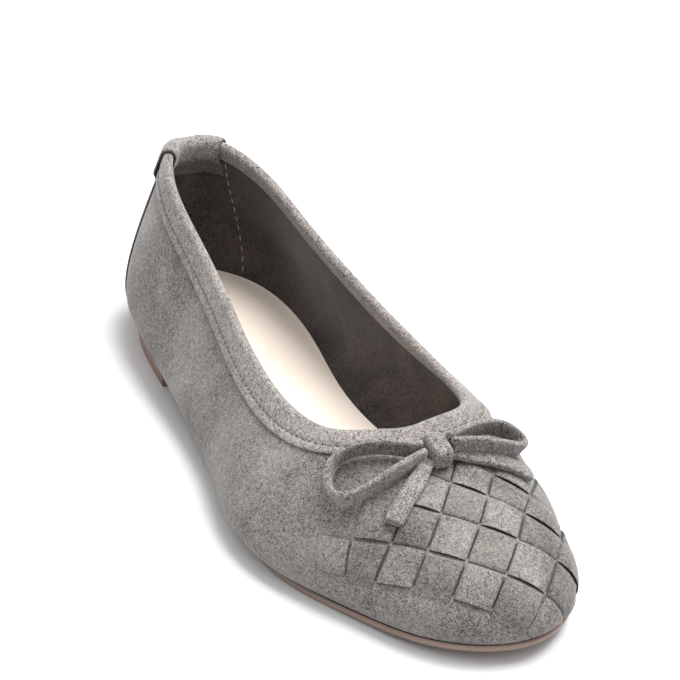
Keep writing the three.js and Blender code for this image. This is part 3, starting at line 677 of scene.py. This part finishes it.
def suede_wall():
    """Outer leather of the upper. It is let down a little under the woven strips, and there it is painted
    dark as shade in the gaps between the strips.
    """
    levels = np.linspace(0, 1, 61)
    t, v = np.meshgrid(around, levels, indexing="ij")
    a, b = weave_at(t, v)
    forward = (t > STATIONS * 0.3) & (t < STATIONS * 0.7)
    under = np.where(forward, smooth((weave_cover(a, b) - RECESS_FROM) / RECESS_RUN), 0.0)
    outside = skin(t, v, -RECESS * under)
    back_levels = np.linspace(1, 0, 25)
    back_t, back_v = np.meshgrid(around, back_levels, indexing="ij")
    backing = inner(back_t, back_v, -LEATHER_SHARE * wall_at(back_v))
    rings = np.concatenate([outside, rim(around, 90, 0.0)[:, None], backing], 1)
    size = rings.shape[1]
    edge = np.zeros(rings.shape[:2])
    # Painted shade: the let-down leather under the strips takes the dark colour.
    edge[:, : len(levels)] = under
    faces = band_faces(ROUND_STEPS, size)
    return new_piece("suede_upper", rings, faces, SUEDE, ["upper"], {"edge": edge})


def lining():
    """Lining glued to the leather's inside, up to the binding."""
    levels = np.linspace(0, 1, 41)
    t, v = np.meshgrid(around, levels, indexing="ij")
    face = inner(t, v, 0.0)
    back = inner(t[:, ::-1], v[:, ::-1], -LINING_SHARE * wall_at(v[:, ::-1]))
    rings = np.concatenate([face, back], 1)
    faces = band_faces(ROUND_STEPS, rings.shape[1])
    return new_piece("lining", rings, faces, LINING)


STRIP_CROWN = 0.95
STRIP_SINK = -0.75
STRIP_SEAT = 0.9
STRIP_GAP = 0.3
STRIP_DOME = 0.16
TILE_ALONG = 34
TILE_SIDE = (0.0, 0.08, 0.24, 0.5, 1.0)
# An end that merges into the wall
MERGE_LEVEL = -0.08
MERGE_FROM = 3.0
MERGE_RUN = 8.5
MERGE_EXTRA = 4.0
# An end that tucks under the next strip
TUCK_LEVEL = 0.6
TUCK_LEVEL_RUN = 5.0
TUCK_FROM = 0.9
TUCK_RUN = 2.0
TUCK_EXTRA = 1.4
# The rounded long edge, and how far in the dark colour reaches: the cut edge's own darker fibre with a
# painted shadow line at the sides, and painted shade in the crease at a tucked end
EDGE_ROUND = 0.5
EDGE_DROP = 0.2
CUT_AND_SHADOW_SIDE = 0.26
CREASE_SHADE_END = 0.5
# At the feather edge the strips sink to the leather
FOOT_LIMIT = 0.004
FOOT_FADE = 0.05


def tile_rise(distance, merges):
    """Height of a strip's face above the leather, by the distance from its end."""
    if merges:
        return mix(MERGE_LEVEL, STRIP_CROWN, smooth((distance + MERGE_FROM) / MERGE_RUN))
    level = mix(TUCK_LEVEL, 1.0, smooth(distance / TUCK_LEVEL_RUN)) * STRIP_CROWN
    return mix(STRIP_SINK, level, smooth((distance + TUCK_FROM) / TUCK_RUN))


def strip_tile(strip, cross, low_merges, high_merges):
    """Points, faces and edge mask of one strip where it passes over the other."""
    along_b = (strip + cross) % 2 == 0
    side, run = STRIP_EDGES[strip : strip + 2], CROSS_EDGES[cross : cross + 2]
    if not along_b:
        side, run = run, side
    before = MERGE_EXTRA if low_merges else TUCK_EXTRA
    after = MERGE_EXTRA if high_merges else TUCK_EXTRA
    along = np.linspace(run[0] - before, run[1] + after, TILE_ALONG)
    half = (side[1] - side[0]) / 2 - STRIP_GAP
    reach = np.array(TILE_SIDE)
    inset = half - reach
    middle = np.linspace(-1, 1, 7)[1:-1] * inset[-1]
    offsets = np.concatenate([-inset, middle, inset[::-1]])
    drops = np.concatenate([reach, np.full(len(middle), 1.0), reach[::-1]])
    rounding = 1 - np.sqrt(np.clip(1 - (1 - drops / EDGE_ROUND) ** 2, 0, 1))
    drop = np.where(drops < EDGE_ROUND, EDGE_DROP * rounding, 0.0)
    low = tile_rise(along - run[0], low_merges)
    high = tile_rise(run[1] - along, high_merges)
    crown = np.minimum(low, high)
    across = (side[0] + side[1]) / 2 + offsets
    grid_run, grid_side = np.meshgrid(along, across, indexing="ij")
    a, b = (grid_side, grid_run) if along_b else (grid_run, grid_side)
    t, v = weave_place(a, b)
    v = np.maximum(v, FOOT_LIMIT)
    dome = STRIP_DOME * (1 - (offsets / half) ** 2)
    rise = crown[:, None] - drop[None, :] + dome[None, :] * smooth(crown / STRIP_CROWN)[:, None]
    rise = rise * smooth(v / FOOT_FADE)
    top = skin(t, v, rise)
    seat = skin(t, v, np.minimum(rise, 0.0) - STRIP_SEAT)
    count = len(offsets)
    rings = np.concatenate([top, seat[:, ::-1]], 1)
    faces = strip_faces(len(along), count)
    # Dark mask: the sides and the back take the cut edge's colour with a painted shadow line; near a tucked
    # end the face is painted dark as shade in the crease.
    mask = np.concatenate([np.clip(1 - drops / CUT_AND_SHADOW_SIDE, 0, 1), np.ones(count)])
    ends = np.zeros(len(along))
    if not low_merges:
        ends = np.maximum(ends, 1 - (along - run[0]) / CREASE_SHADE_END)
    if not high_merges:
        ends = np.maximum(ends, 1 - (run[1] - along) / CREASE_SHADE_END)
    return rings.reshape(-1, 3), faces, np.maximum(mask[None, :], np.clip(ends, 0, 1)[:, None]).ravel()


def woven_strips(name, along_b):
    points, faces, masks, start = [], [], [], 0
    shown = {(s, c) for s, (first, last) in enumerate(WEAVE_ROWS) for c in range(first, last + 1)}
    for strip, cross in sorted(shown):
        if ((strip + cross) % 2 == 0) != along_b:
            continue
        low_merges = not along_b and (strip - 1, cross) not in shown
        high_merges = not along_b and (strip + 1, cross) not in shown
        tile_points, tile_faces, mask = strip_tile(strip, cross, low_merges, high_merges)
        if volume_of(tile_points - tile_points.mean(0), tile_faces) < 0:
            tile_faces = [face[::-1] for face in tile_faces]
        points.append(tile_points)
        faces += [[start + k for k in face] for face in tile_faces]
        masks.append(mask)
        start += len(tile_points)
    finish = SUEDE if along_b else SHADED_CROSS_SUEDE
    edge = np.concatenate(masks)
    return new_piece(name, np.concatenate(points), faces, finish, (), {"edge": edge})


# Section of the binding, from its lower edge outside up over the roll, then down the lining and back:
# depth below the rim and rise off the wall
BINDING_OUTSIDE = (
    (9.0, 0.02), (9.06, 0.35), (8.98, 0.72), (8.7, 0.95), (8.2, 1.02), (7.4, 1.0), (6.7, 0.92), (6.25, 0.75),
    (6.0, 0.62), (5.75, 0.75), (5.3, 0.95), (4.5, 1.1), (3.5, 1.18), (2.2, 1.2), (1.0, 1.2),
)
BINDING_LINING = ((1.0, 1.1), (2.2, 0.98), (3.4, 0.85), (4.3, 0.78), (4.8, 0.6), (5.0, 0.3), (5.0, 0.02))
BINDING_BACK = (4.5, 0.03)
BINDING_RISE = 1.2
BINDING_SEAT = 0.05
ROLL_DEGREES = (0, 22, 45, 67, 90, 112, 135, 158, 180)


def collar_binding():
    ring = [skin(around, depth_around.at(depth), rise) for depth, rise in BINDING_OUTSIDE]
    ring += [rim(around, degrees, BINDING_RISE) for degrees in ROLL_DEGREES]
    ring += [inner(around, depth_around.at(depth), rise) for depth, rise in BINDING_LINING]
    ring += [rim(around, degrees, BINDING_SEAT) for degrees in (180, 90, 0)]
    ring += [skin(around, depth_around.at(BINDING_BACK[0]), BINDING_BACK[1])]
    rings = np.stack(ring, 1)
    edge = np.zeros(rings.shape[:2])
    # The binding's lower edge takes the dark colour: its cut edge, with a painted shadow line along it.
    edge[:, 0:2] = 1.0
    faces = band_faces(ROUND_STEPS, rings.shape[1])
    return new_piece(
        "collar_binding", rings, faces, TRIM, ["topline_binding"], {"edge": edge}
    )


def stay_half(v, side):
    """Half width of the heel stay at a height of the wall, on the lateral (negative) or medial side."""
    foot = np.where(side < 0, STAY_FOOT_LATERAL, STAY_FOOT_MEDIAL)
    return mix(foot, STAY_TOP, smooth((v - STAY_FLARE) / (1 - STAY_FLARE)))


def heel_time(v, side):
    """Values of t where the outside of the heel is a distance to one side of the middle."""
    side = np.asarray(side, float)
    start = np.zeros(np.broadcast(side, v).shape)

    def near(t):
        return np.abs(outer(np.where(side < 0, t, -t), v)[..., 1]) < np.abs(side)

    found = halved(start, start + STATIONS / 5, 30, near)
    return np.where(side < 0, found, -found)


# Heel stay: rise over the lining, over the binding and off the wall, and thickness
STAY_LINING = 0.15
STAY_OVER = 1.75
STAY_SEAT = 0.05
STAY_THICK = 0.85
STAY_EDGE = 0.1
# Depths below the rim inside the collar, turns over the rim, depths outside, then v down the wall
STAY_INSIDE = (12.0, 11.9, 11.5, 10, 8, 6.8, 6.0, 5.4, 4.6, 3, 1.5)
STAY_TURNS = (165, 140, 115, 90, 65, 40, 15)
STAY_OUTSIDE = (1.5, 3, 4.5, 6, 7.5, 8.8, 9.5, 10.2, 11, 12)
STAY_DOWN = np.linspace(0.74, 0.0, 26)
# Depth from which the stay climbs on to the binding, and over what run, on each side of the rim
CLIMB_INSIDE = (7.2, 1.6)
CLIMB_OUTSIDE = (11.4, 2.4)
# Places across as shares of the half width, and how far the face falls there, as shares of the thickness
STAY_ACROSS = (
    -1.0, -0.995, -0.97, -0.93, -0.8, -0.6, -0.4, -0.2, 0, 0.2, 0.4, 0.6, 0.8, 0.93, 0.97, 0.995, 1.0,
)
STAY_FALL = (0.75, 0.4, 0.12, 0.02, 0, 0, 0, 0, 0, 0, 0, 0, 0, 0.02, 0.12, 0.4, 0.75)


def heel_stay():
    """Strip from inside the collar over the binding and down the back to the sole."""
    shares = np.array(STAY_ACROSS)
    fall = np.array(STAY_FALL)
    steps = []
    for depth in STAY_INSIDE:
        seat = mix(STAY_LINING, STAY_OVER, smooth((CLIMB_INSIDE[0] - depth) / CLIMB_INSIDE[1]))
        steps.append(("inside", depth, seat, STAY_EDGE if depth == STAY_INSIDE[0] else STAY_THICK))
    for degrees in STAY_TURNS:
        steps.append(("rim", degrees, STAY_OVER, STAY_THICK))
    for depth in STAY_OUTSIDE:
        seat = mix(STAY_SEAT, STAY_OVER, smooth((CLIMB_OUTSIDE[0] - depth) / CLIMB_OUTSIDE[1]))
        steps.append(("outside", depth, seat, STAY_THICK))
    for v in STAY_DOWN:
        steps.append(("wall", v, STAY_SEAT, STAY_THICK))
    rows_face, rows_back, edge = [], [], []
    middle_depth = RimDepth(np.zeros(1))
    for kind, value, seat, thickness in steps:
        v = 1.0
        if kind == "outside":
            v = float(middle_depth.at(value)[0])
        if kind == "wall":
            v = value
        t = heel_time(np.full(len(shares), v), -shares * stay_half(v, -shares))
        rise_face = seat + thickness - fall * thickness
        rise_back = np.full(len(shares), seat)
        if kind == "inside":
            levels = RimDepth(t).at(value)
            face = inner(t, levels, rise_face)
            back = inner(t, levels, rise_back)
        elif kind == "rim":
            face = rim(t, value, rise_face)
            back = rim(t, value, rise_back)
        else:
            levels = RimDepth(t).at(value) if kind == "outside" else np.full(len(t), v)
            face = skin(t, levels, rise_face)
            back = skin(t, levels, rise_back)
            if v < 0.01:
                face[:, 2] = tread_height(face[:, 0]) + PLATE + GAP
                back[:, 2] = face[:, 2]
        rows_face.append(face)
        rows_back.append(back)
        # Inside the collar the stay's face grows darker with depth: painted shade.
        painted_inside_shade = 0.6 * smooth((value - 2.5) / 3.0) if kind == "inside" else 0.0
        cut_and_shade = np.maximum(np.clip(fall * 1.2, 0, 1), painted_inside_shade)
        edge.append(np.concatenate([cut_and_shade, np.full(len(shares), 0.75)]))
    rings = np.concatenate([np.array(rows_face), np.array(rows_back)[:, ::-1]], 1)
    faces = strip_faces(len(steps), len(shares))
    masks = {"edge": np.array(edge)}
    return new_piece("heel_stay_strip", rings, faces, TRIM, ["heel_stay"], masks)


def plate_solid(name, levels, finish, replaced, top_height):
    """Closed plate. levels are functions from t to edge points, and the top and bottom are filled across."""
    count = 440
    across = 22
    ring_t = np.arange(count) * STATIONS / count
    rings = [place(ring_t) for place in levels]
    points = [np.concatenate(rings)]
    faces = band_faces(len(rings), count, wrap=False)
    start = len(rings) * count
    for level, flip in ((0, True), (len(rings) - 1, False)):
        edge = rings[level]
        index = np.full((count // 2 + 1, across + 1), -1)
        for i in range(count // 2 + 1):
            j = (count - i) % count
            index[i, 0] = level * count + i
            index[i, across] = level * count + j
            if i in (0, count // 2):
                index[i, :] = index[i, 0]
                continue
            share = np.linspace(0, 1, across + 1)[1:-1]
            line = edge[i] + (edge[j] - edge[i]) * share[:, None]
            if not flip:
                line = top_height(line, share)
            index[i, 1:across] = start + np.arange(across - 1)
            start += across - 1
            points.append(line)
        for i in range(count // 2):
            for k in range(across):
                quad = [index[i, k], index[i, k + 1], index[i + 1, k + 1], index[i + 1, k]]
                quad = [int(q) for n, q in enumerate(quad) if q not in quad[:n]]
                if len(quad) > 2:
                    faces.append(quad[::-1] if flip else quad)
    return new_piece(name, np.concatenate(points), faces, finish, replaced)


# Edge of the sole plate in section: height above the tread, then inset
PLATE_EDGE = (
    (0.0, 1.1), (0.1, 0.55), (0.35, 0.18), (0.7, 0.0), (1.1, -0.05),
    (1.5, 0.0), (1.85, 0.14), (2.1, 0.4), (2.2, 0.8),
)


def sole_plate():
    """Leather sole with a rounded edge."""
    levels = []
    for up, inset in PLATE_EDGE:

        def place(t, up=up, inset=inset):
            p = sole_edge(t, inset)
            p[..., 2] = tread_height(p[..., 0]) + up
            return p

        levels.append(place)

    def crown(line, _share):
        line = line.copy()
        line[:, 2] = tread_height(line[:, 0]) + PLATE
        return line

    return plate_solid("sole_plate", levels, SOLE, ["outsole"], crown)


def inside_at(t, up):
    """Points inside the lining at a height above the plate."""

    def under(v):
        p = inner(t, v, GAP)
        return p[:, 2] < tread_height(p[:, 0]) + PLATE + up

    p = inner(t, halved(np.zeros(len(t)), np.full(len(t), 0.5), 24, under), GAP)
    p[:, 2] = tread_height(p[:, 0]) + PLATE + up
    return p


# Sock: how far its rim stands up and its middle is let down, over what run, and the board's thickness
SOCK_CUP = 0.2
SOCK_CUP_RUN = 9.0
BOARD = 1.2


def sock():
    """Cream sock over its board, cupped a little towards the lining."""
    lip = GAP + INSOLE + SOCK_CUP
    floor = GAP + INSOLE - SOCK_CUP
    levels = [lambda t, up=up: inside_at(t, up) for up in (GAP, GAP + BOARD, GAP + INSOLE, lip)]

    def dish(line, share):
        line = line.copy()
        width = np.linalg.norm(line[0] - line[-1]) + 1e-6
        off = np.minimum(share, 1 - share) * width
        line[:, 2] = tread_height(line[:, 0]) + PLATE + mix(lip, floor, smooth(off / SOCK_CUP_RUN))
        return line

    return plate_solid("sock", levels, SOCK, ["insole"], dish)


def time_at(share):
    """Value of t on the lateral side where the sole outline reaches a share of the length."""
    return halved(0.0, STATIONS / 2, 40, lambda t: sole_curve(t)[0] / LENGTH + 0.5 < share)


# Side of the heel in section: share of its height, then inset, with a groove between the lifts
LIFTS = 4
HEEL_FOOT = ((0.0, 0.5), (0.02, 0.2), (0.06, 0.0))
HEEL_GROOVE = ((-0.035, 0.0), (-0.015, 0.16), (0.0, 0.24), (0.015, 0.16), (0.035, 0.0))
HEEL_HEAD = ((0.97, 0.0), (1.0, 0.15))
HEEL_SEAT = 0.02


def stacked_heel():
    """Four leather lifts with a fine groove between them, and a square breast."""
    breast = time_at(HEEL_BREAST)
    steps = 90
    levels = list(HEEL_FOOT)
    for lift in range(1, LIFTS):
        levels += [(lift / LIFTS + up, inset) for up, inset in HEEL_GROOVE]
    levels += HEEL_HEAD
    rings = []
    masks = []
    k = np.arange(-steps, steps + 1)
    t = breast * k / steps
    for share, inset in levels:
        taper = HEEL_TAPER * (1 - share) * smooth(1.35 - np.abs(k) / steps)
        p = sole_edge(t, HEEL_INSET + inset + taper)
        p[:, 2] = share * (tread_height(p[:, 0]) - HEEL_SEAT)
        rings.append(p)
        masks.append(np.full(len(p), min(1.0, inset / 0.2) if 0.1 < share < 0.9 else 0.0))
    size = len(k)
    points = np.concatenate(rings)
    faces = band_faces(len(rings), size, wrap=False)
    top = (len(rings) - 1) * size
    for n in range(steps):
        a, b, c, d = n, n + 1, size - 2 - n, size - 1 - n
        if b == c:
            faces += [[d, b, a], [top + a, top + b, top + d]]
        else:
            faces += [[d, c, b, a], [top + a, top + b, top + c, top + d]]
    edge = {"edge": np.concatenate(masks)}
    return new_piece("stacked_heel", points, faces, HEEL, ["heel_block"], edge)


# Bow: shares of the length and the half width, as in the part's source
RIBBON_WIDTH = 6.3
RIBBON_THICK = 2.3
TAIL_WIDTH = 6.0
KNOT_AT = (0.258, 0.1)
# Knot: half sizes along, across and up, squareness, then place, width and depth of each fold
KNOT_HALF = (3.5, 6.0, 4.0)
KNOT_SQUARE = 0.5
KNOT_FOLDS = ((0.9, 0.45, 0.1), (-1.5, 0.4, 0.07))
# Heights over the vamp, with what is added at the loops' tips and at the tails' start
KNOT_OVER = 1.0
LOOP_OVER = 0.9
LOOP_TIP = 0.3
TAIL_OVER = 1.0
TAIL_START = 1.2
# Loops: name, node, tip as shares, spread as a share of the half width, and lift at the knot
LOOPS = (
    ("bow_loop_outer", "bow_loop_lateral", 0.246, -0.72, 0.175, 0.5),
    ("bow_loop_inner", "bow_loop_medial", 0.243, 0.81, 0.11, 2.5),
)
# Tails: name, node, then start, bend and end as shares
TAILS = (
    ("bow_tail_outer", "bow_tail_lateral", (0.268, 0.0), (0.304, -0.26), (0.33, -0.455)),
    ("bow_tail_inner", "bow_tail_medial", (0.258, 0.16), (0.276, 0.5), (0.29, 0.8)),
)


def over_vamp(x, y, rise):
    """Points over the vamp seen from above, with the outward direction there."""
    t, v = place_on(outer, np.stack([x, y], -1))
    return skin(t, v, rise), outward(t, v)


def ribbon_section(width, thick, share):
    """Folded strip in section: rounded long edges and a shallow fold line on each face."""
    turn = np.linspace(0, 2 * math.pi, 28, endpoint=False)
    square = 0.35
    x = np.sign(np.cos(turn)) * np.abs(np.cos(turn)) ** square
    y = np.sign(np.sin(turn)) * np.abs(np.sin(turn)) ** 0.6
    groove = 1 - 0.22 * np.exp(-(((x - 0.35) / 0.12) ** 2))
    return np.stack([x * width / 2 * share, y * groove * thick / 2], -1)


def ribbon(points, ups, width, thick, shares):
    before = np.roll(points, 1, 0)
    after = np.roll(points, -1, 0)
    before[0] = points[0]
    after[-1] = points[-1]
    forward = unit(after - before)
    side = unit(np.cross(forward, ups))
    lift = np.cross(side, forward)
    rings = []
    for k in range(len(points)):
        section = ribbon_section(width, thick, shares[k])
        rings.append(points[k] + section[:, :1] * lift[k] + section[:, 1:] * side[k])
    return np.array(rings)


def close_ends(rings):
    size = rings.shape[1]
    faces = band_faces(len(rings), size, wrap=False)
    faces.append(list(range(size))[::-1])
    faces.append([(len(rings) - 1) * size + k for k in range(size)])
    return faces


def bow_loop(name, node, tip_x, tip_y, spread, lift):
    start = np.array([KNOT_AT[0] * LENGTH, KNOT_AT[1] * HALF_WIDTH])
    axis = np.array([tip_x * LENGTH, tip_y * HALF_WIDTH]) - start
    sideways = np.array([-axis[1], axis[0]]) / np.linalg.norm(axis)
    turn = np.linspace(0.03, 0.97, 90)
    out = np.sin(math.pi * turn) ** 0.8
    wide = np.sin(2 * math.pi * turn) * spread * HALF_WIDTH
    plan = start + out[:, None] * axis + wide[:, None] * sideways
    rise = GAP + LOOP_OVER + RIBBON_WIDTH / 2 + lift * (1 - out) + LOOP_TIP * out
    points, ups = over_vamp(plan[:, 0], plan[:, 1], rise)
    rings = ribbon(points, ups, RIBBON_WIDTH, RIBBON_THICK, np.ones(len(plan)))
    return new_piece(name, rings, close_ends(rings), BOW_SUEDE, [node])


def bow_tail(name, node, start, bend, end):
    s = np.linspace(0, 1, 40)[:, None]
    scale = np.array([LENGTH, HALF_WIDTH])
    a, b, c = (np.array(p) * scale for p in (start, bend, end))
    plan = (1 - s) ** 2 * a + 2 * s * (1 - s) * b + s**2 * c
    run = unit(np.concatenate([2 * (1 - s) * (b - a) + 2 * s * (c - b), np.zeros_like(s)], 1))
    s = s[:, 0]
    rise = TAIL_OVER + GAP + RIBBON_THICK / 2 + TAIL_START * (1 - smooth(3 * s))
    points, out = over_vamp(plan[:, 0], plan[:, 1], rise)
    rings = ribbon(points, np.cross(out, run), TAIL_WIDTH, RIBBON_THICK, mix(0.7, 1.0, smooth(2.5 * s)))
    return new_piece(name, rings, close_ends(rings), BOW_SUEDE, [node])


def bow_knot():
    half_length, half_width, half_height = KNOT_HALF
    rise = np.array([GAP + KNOT_OVER + half_height])
    point, out = over_vamp(np.array([KNOT_AT[0] * LENGTH]), np.array([KNOT_AT[1] * HALF_WIDTH]), rise)
    point, out = point[0], out[0]
    along = np.array([0.0, 1.0, 0.0])
    along = unit(along - out * np.dot(out, along))
    side = np.cross(along, out)
    rows, columns = 28, 44
    polar = np.linspace(0, math.pi, rows + 1)[1:-1]
    turn = np.linspace(0, 2 * math.pi, columns, endpoint=False)

    def soft(value):
        return np.sign(value) * np.abs(value) ** KNOT_SQUARE

    p, q = np.meshgrid(polar, turn, indexing="ij")
    x = soft(np.cos(p)) * half_length
    y = soft(np.sin(p) * np.cos(q)) * half_width
    z = soft(np.sin(p) * np.sin(q)) * half_height
    fold = 1 - sum(depth * np.exp(-(((x - at) / width) ** 2)) for at, width, depth in KNOT_FOLDS)
    body = point + x[..., None] * along + (fold * y)[..., None] * side + (fold * z)[..., None] * out
    points = np.concatenate([body.reshape(-1, 3), [point + along * half_length, point - along * half_length]])
    faces = band_faces(rows - 1, columns, wrap=False)
    first, last = (rows - 1) * columns, (rows - 1) * columns + 1
    for k in range(columns):
        m = (k + 1) % columns
        faces.append([first, m, k])
        faces.append([last, (rows - 2) * columns + k, (rows - 2) * columns + m])
    return new_piece("bow_knot_band", points, faces, BOW_SUEDE, ["bow_knot"])


def stitch_tree():
    """Geometry nodes: a row of thread stitches along an edge path."""
    tree = bpy.data.node_groups.new("stitch row", "GeometryNodeTree")
    add_sockets(tree, "INPUT", {"Geometry": "Geometry", "Pitch": "Float", "Stitch Length": "Float"})
    add_sockets(tree, "INPUT", {"Thread Width": "Float", "Thread": "Material"})
    add_sockets(tree, "OUTPUT", {"Geometry": "Geometry"})
    nodes = tree.nodes
    start = nodes.new("NodeGroupInput")
    end = nodes.new("NodeGroupOutput")
    path = nodes.new("GeometryNodeMeshToCurve")
    resample = nodes.new("GeometryNodeResampleCurve")
    resample.mode = "LENGTH"
    ball = nodes.new("GeometryNodeMeshUVSphere")
    fill(ball, {"Segments": 10, "Rings": 6, "Radius": 0.5})
    size = nodes.new("ShaderNodeCombineXYZ")
    shape = nodes.new("GeometryNodeTransform")
    tangent = nodes.new("GeometryNodeInputTangent")
    turn = nodes.new("FunctionNodeAlignRotationToVector")
    turn.axis = "X"
    place = nodes.new("GeometryNodeInstanceOnPoints")
    whole = nodes.new("GeometryNodeRealizeInstances")
    finish = nodes.new("GeometryNodeSetMaterial")
    for source, output, target, socket in (
        (start, "Geometry", path, "Mesh"),
        (path, "Curve", resample, "Curve"),
        (start, "Pitch", resample, "Length"),
        (start, "Stitch Length", size, "X"),
        (start, "Thread Width", size, "Y"),
        (start, "Thread Width", size, "Z"),
        (ball, "Mesh", shape, "Geometry"),
        (size, "Vector", shape, "Scale"),
        (tangent, "Tangent", turn, "Vector"),
        (resample, "Curve", place, "Points"),
        (shape, "Geometry", place, "Instance"),
        (turn, "Rotation", place, "Rotation"),
        (place, "Instances", whole, "Geometry"),
        (whole, "Geometry", finish, "Geometry"),
        (start, "Thread", finish, "Material"),
        (finish, "Geometry", end, "Geometry"),
    ):
        tree.links.new(source.outputs[output], target.inputs[socket])
    return tree


STITCH_ROW = stitch_tree()


# Thread stitches: pitch, length and width
BINDING_STITCH = (2.6, 1.7, 0.45)
LINING_STITCH = (3.6, 2.4, 0.4)


def stitches(name, path, closed, finish, sizes):
    """Thread stitches along a path of points."""
    pitch, length, width = sizes
    mesh = bpy.data.meshes.new(name + "_path")
    count = len(path)
    edges = [(k, (k + 1) % count) for k in range(count if closed else count - 1)]
    mesh.from_pydata(to_frame(path).tolist(), edges, [])
    row = put(name + "_path", mesh)
    modifier = row.modifiers.new("stitches", "NODES")
    modifier.node_group = STITCH_ROW
    values = {"Pitch": pitch * MM, "Stitch Length": length * MM, "Thread Width": width * MM}
    values["Thread"] = finish
    for socket in STITCH_ROW.interface.items_tree:
        if socket.in_out == "INPUT" and socket.name in values:
            modifier[socket.identifier] = values[socket.name]
    graph = bpy.context.evaluated_depsgraph_get()
    thread = bpy.data.meshes.new_from_object(row.evaluated_get(graph))
    bpy.data.objects.remove(row)
    thread.name = name
    thread.shade_smooth()
    piece = put(name, thread)
    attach(piece, "root")
    return piece


# Lights: name, azimuth and elevation in degrees, distance and size in metres, and power
FLOOR_REACH = 6.0
FLOOR_TONE = 0.63
WORLD_STRENGTH = 0.95
LIGHTS = (
    ("key", 192, 68, 1.3, 1.0, 37),
    ("fill", 60, 60, 1.5, 1.4, 4),
)


def studio():
    """Pale floor, plain world and soft lights."""
    floor_mesh = bpy.data.meshes.new("floor")
    corners = [(x * FLOOR_REACH, y * FLOOR_REACH, 0) for x, y in ((-1, -1), (1, -1), (1, 1), (-1, 1))]
    floor_mesh.from_pydata(corners, [], [(0, 1, 2, 3)])
    floor = put("floor", floor_mesh)
    finish, _, shader = new_finish("floor paper")
    tone = (FLOOR_TONE, FLOOR_TONE, FLOOR_TONE, 1)
    fill(shader, {"Base Color": tone, "Roughness": 0.9, "Specular IOR Level": 0.1})
    floor_mesh.materials.append(finish)
    world = bpy.data.worlds.new("studio")
    world.use_nodes = True
    fill(world.node_tree.nodes["Background"], {"Color": (1, 1, 1, 1), "Strength": WORLD_STRENGTH})
    bpy.context.scene.world = world
    for name, azimuth, elevation, distance, size, power in LIGHTS:
        light = bpy.data.lights.new(name, "AREA")
        light.energy = power
        light.size = size
        lamp = put(name, light)
        back = direction(azimuth, elevation)
        lamp.location = back * distance
        lamp.rotation_mode = "QUATERNION"
        lamp.rotation_quaternion = (-back).to_track_quat("-Z", "Y")
    bpy.context.scene.view_settings.view_transform = "Standard"


# Camera fitted to the photograph: angles in degrees, lengths in millimetres, focal length in pixels
VIEW_AZIMUTH = 60.69
VIEW_ELEVATION = 29.54
VIEW_ROLL = 5.07
VIEW_DISTANCE = 1097.9
VIEW_FOCAL = 3140.0
VIEW_TARGET = (-43.23, 26.26, 20.0)
IMAGE_SIZE = 680
SENSOR = 36.0


def camera():
    a, r = math.radians(VIEW_AZIMUTH), math.radians(VIEW_ROLL)
    back = direction(VIEW_AZIMUTH, VIEW_ELEVATION)
    right = Vector((math.cos(a), math.sin(a), 0))
    up = back.cross(right)
    x_axis = right * math.cos(r) + up * math.sin(r)
    y_axis = up * math.cos(r) - right * math.sin(r)
    data = bpy.data.cameras.new("camera")
    data.sensor_width = SENSOR
    data.lens = VIEW_FOCAL / IMAGE_SIZE * SENSOR
    data.clip_start = 0.05
    data.clip_end = 20
    eye = put("camera", data)
    place = Vector(to_frame(VIEW_TARGET)) + back * VIEW_DISTANCE * MM
    turn = Matrix((x_axis, y_axis, back)).transposed()
    eye.matrix_world = Matrix.Translation(place) @ turn.to_4x4()
    bpy.context.scene.camera = eye


camera()
studio()
suede_wall()
lining()
woven_strips("row_strips", True)
woven_strips("slit_strips", False)
collar_binding()
heel_stay()
sock()
sole_plate()
stacked_heel()
for loop in LOOPS:
    bow_loop(*loop)
for tail in TAILS:
    bow_tail(*tail)
bow_knot()

outside_row = skin(around, depth_around.at(STITCH_DEPTH), 0.72)
stitches("binding_stitches", outside_row, True, THREAD, BINDING_STITCH)

# Seam of the lining on the inner side of the heel: t and v at its top and at its foot
SEAM_TOP = (18.8, 0.87)
SEAM_FOOT = (18.56, 0.14)
seam = np.linspace(0, 1, 40)
lining_row = inner(mix(SEAM_TOP[0], SEAM_FOOT[0], seam**2), mix(SEAM_TOP[1], SEAM_FOOT[1], seam), 0.15)
stitches("lining_stitches", lining_row, False, PALE_THREAD, LINING_STITCH)
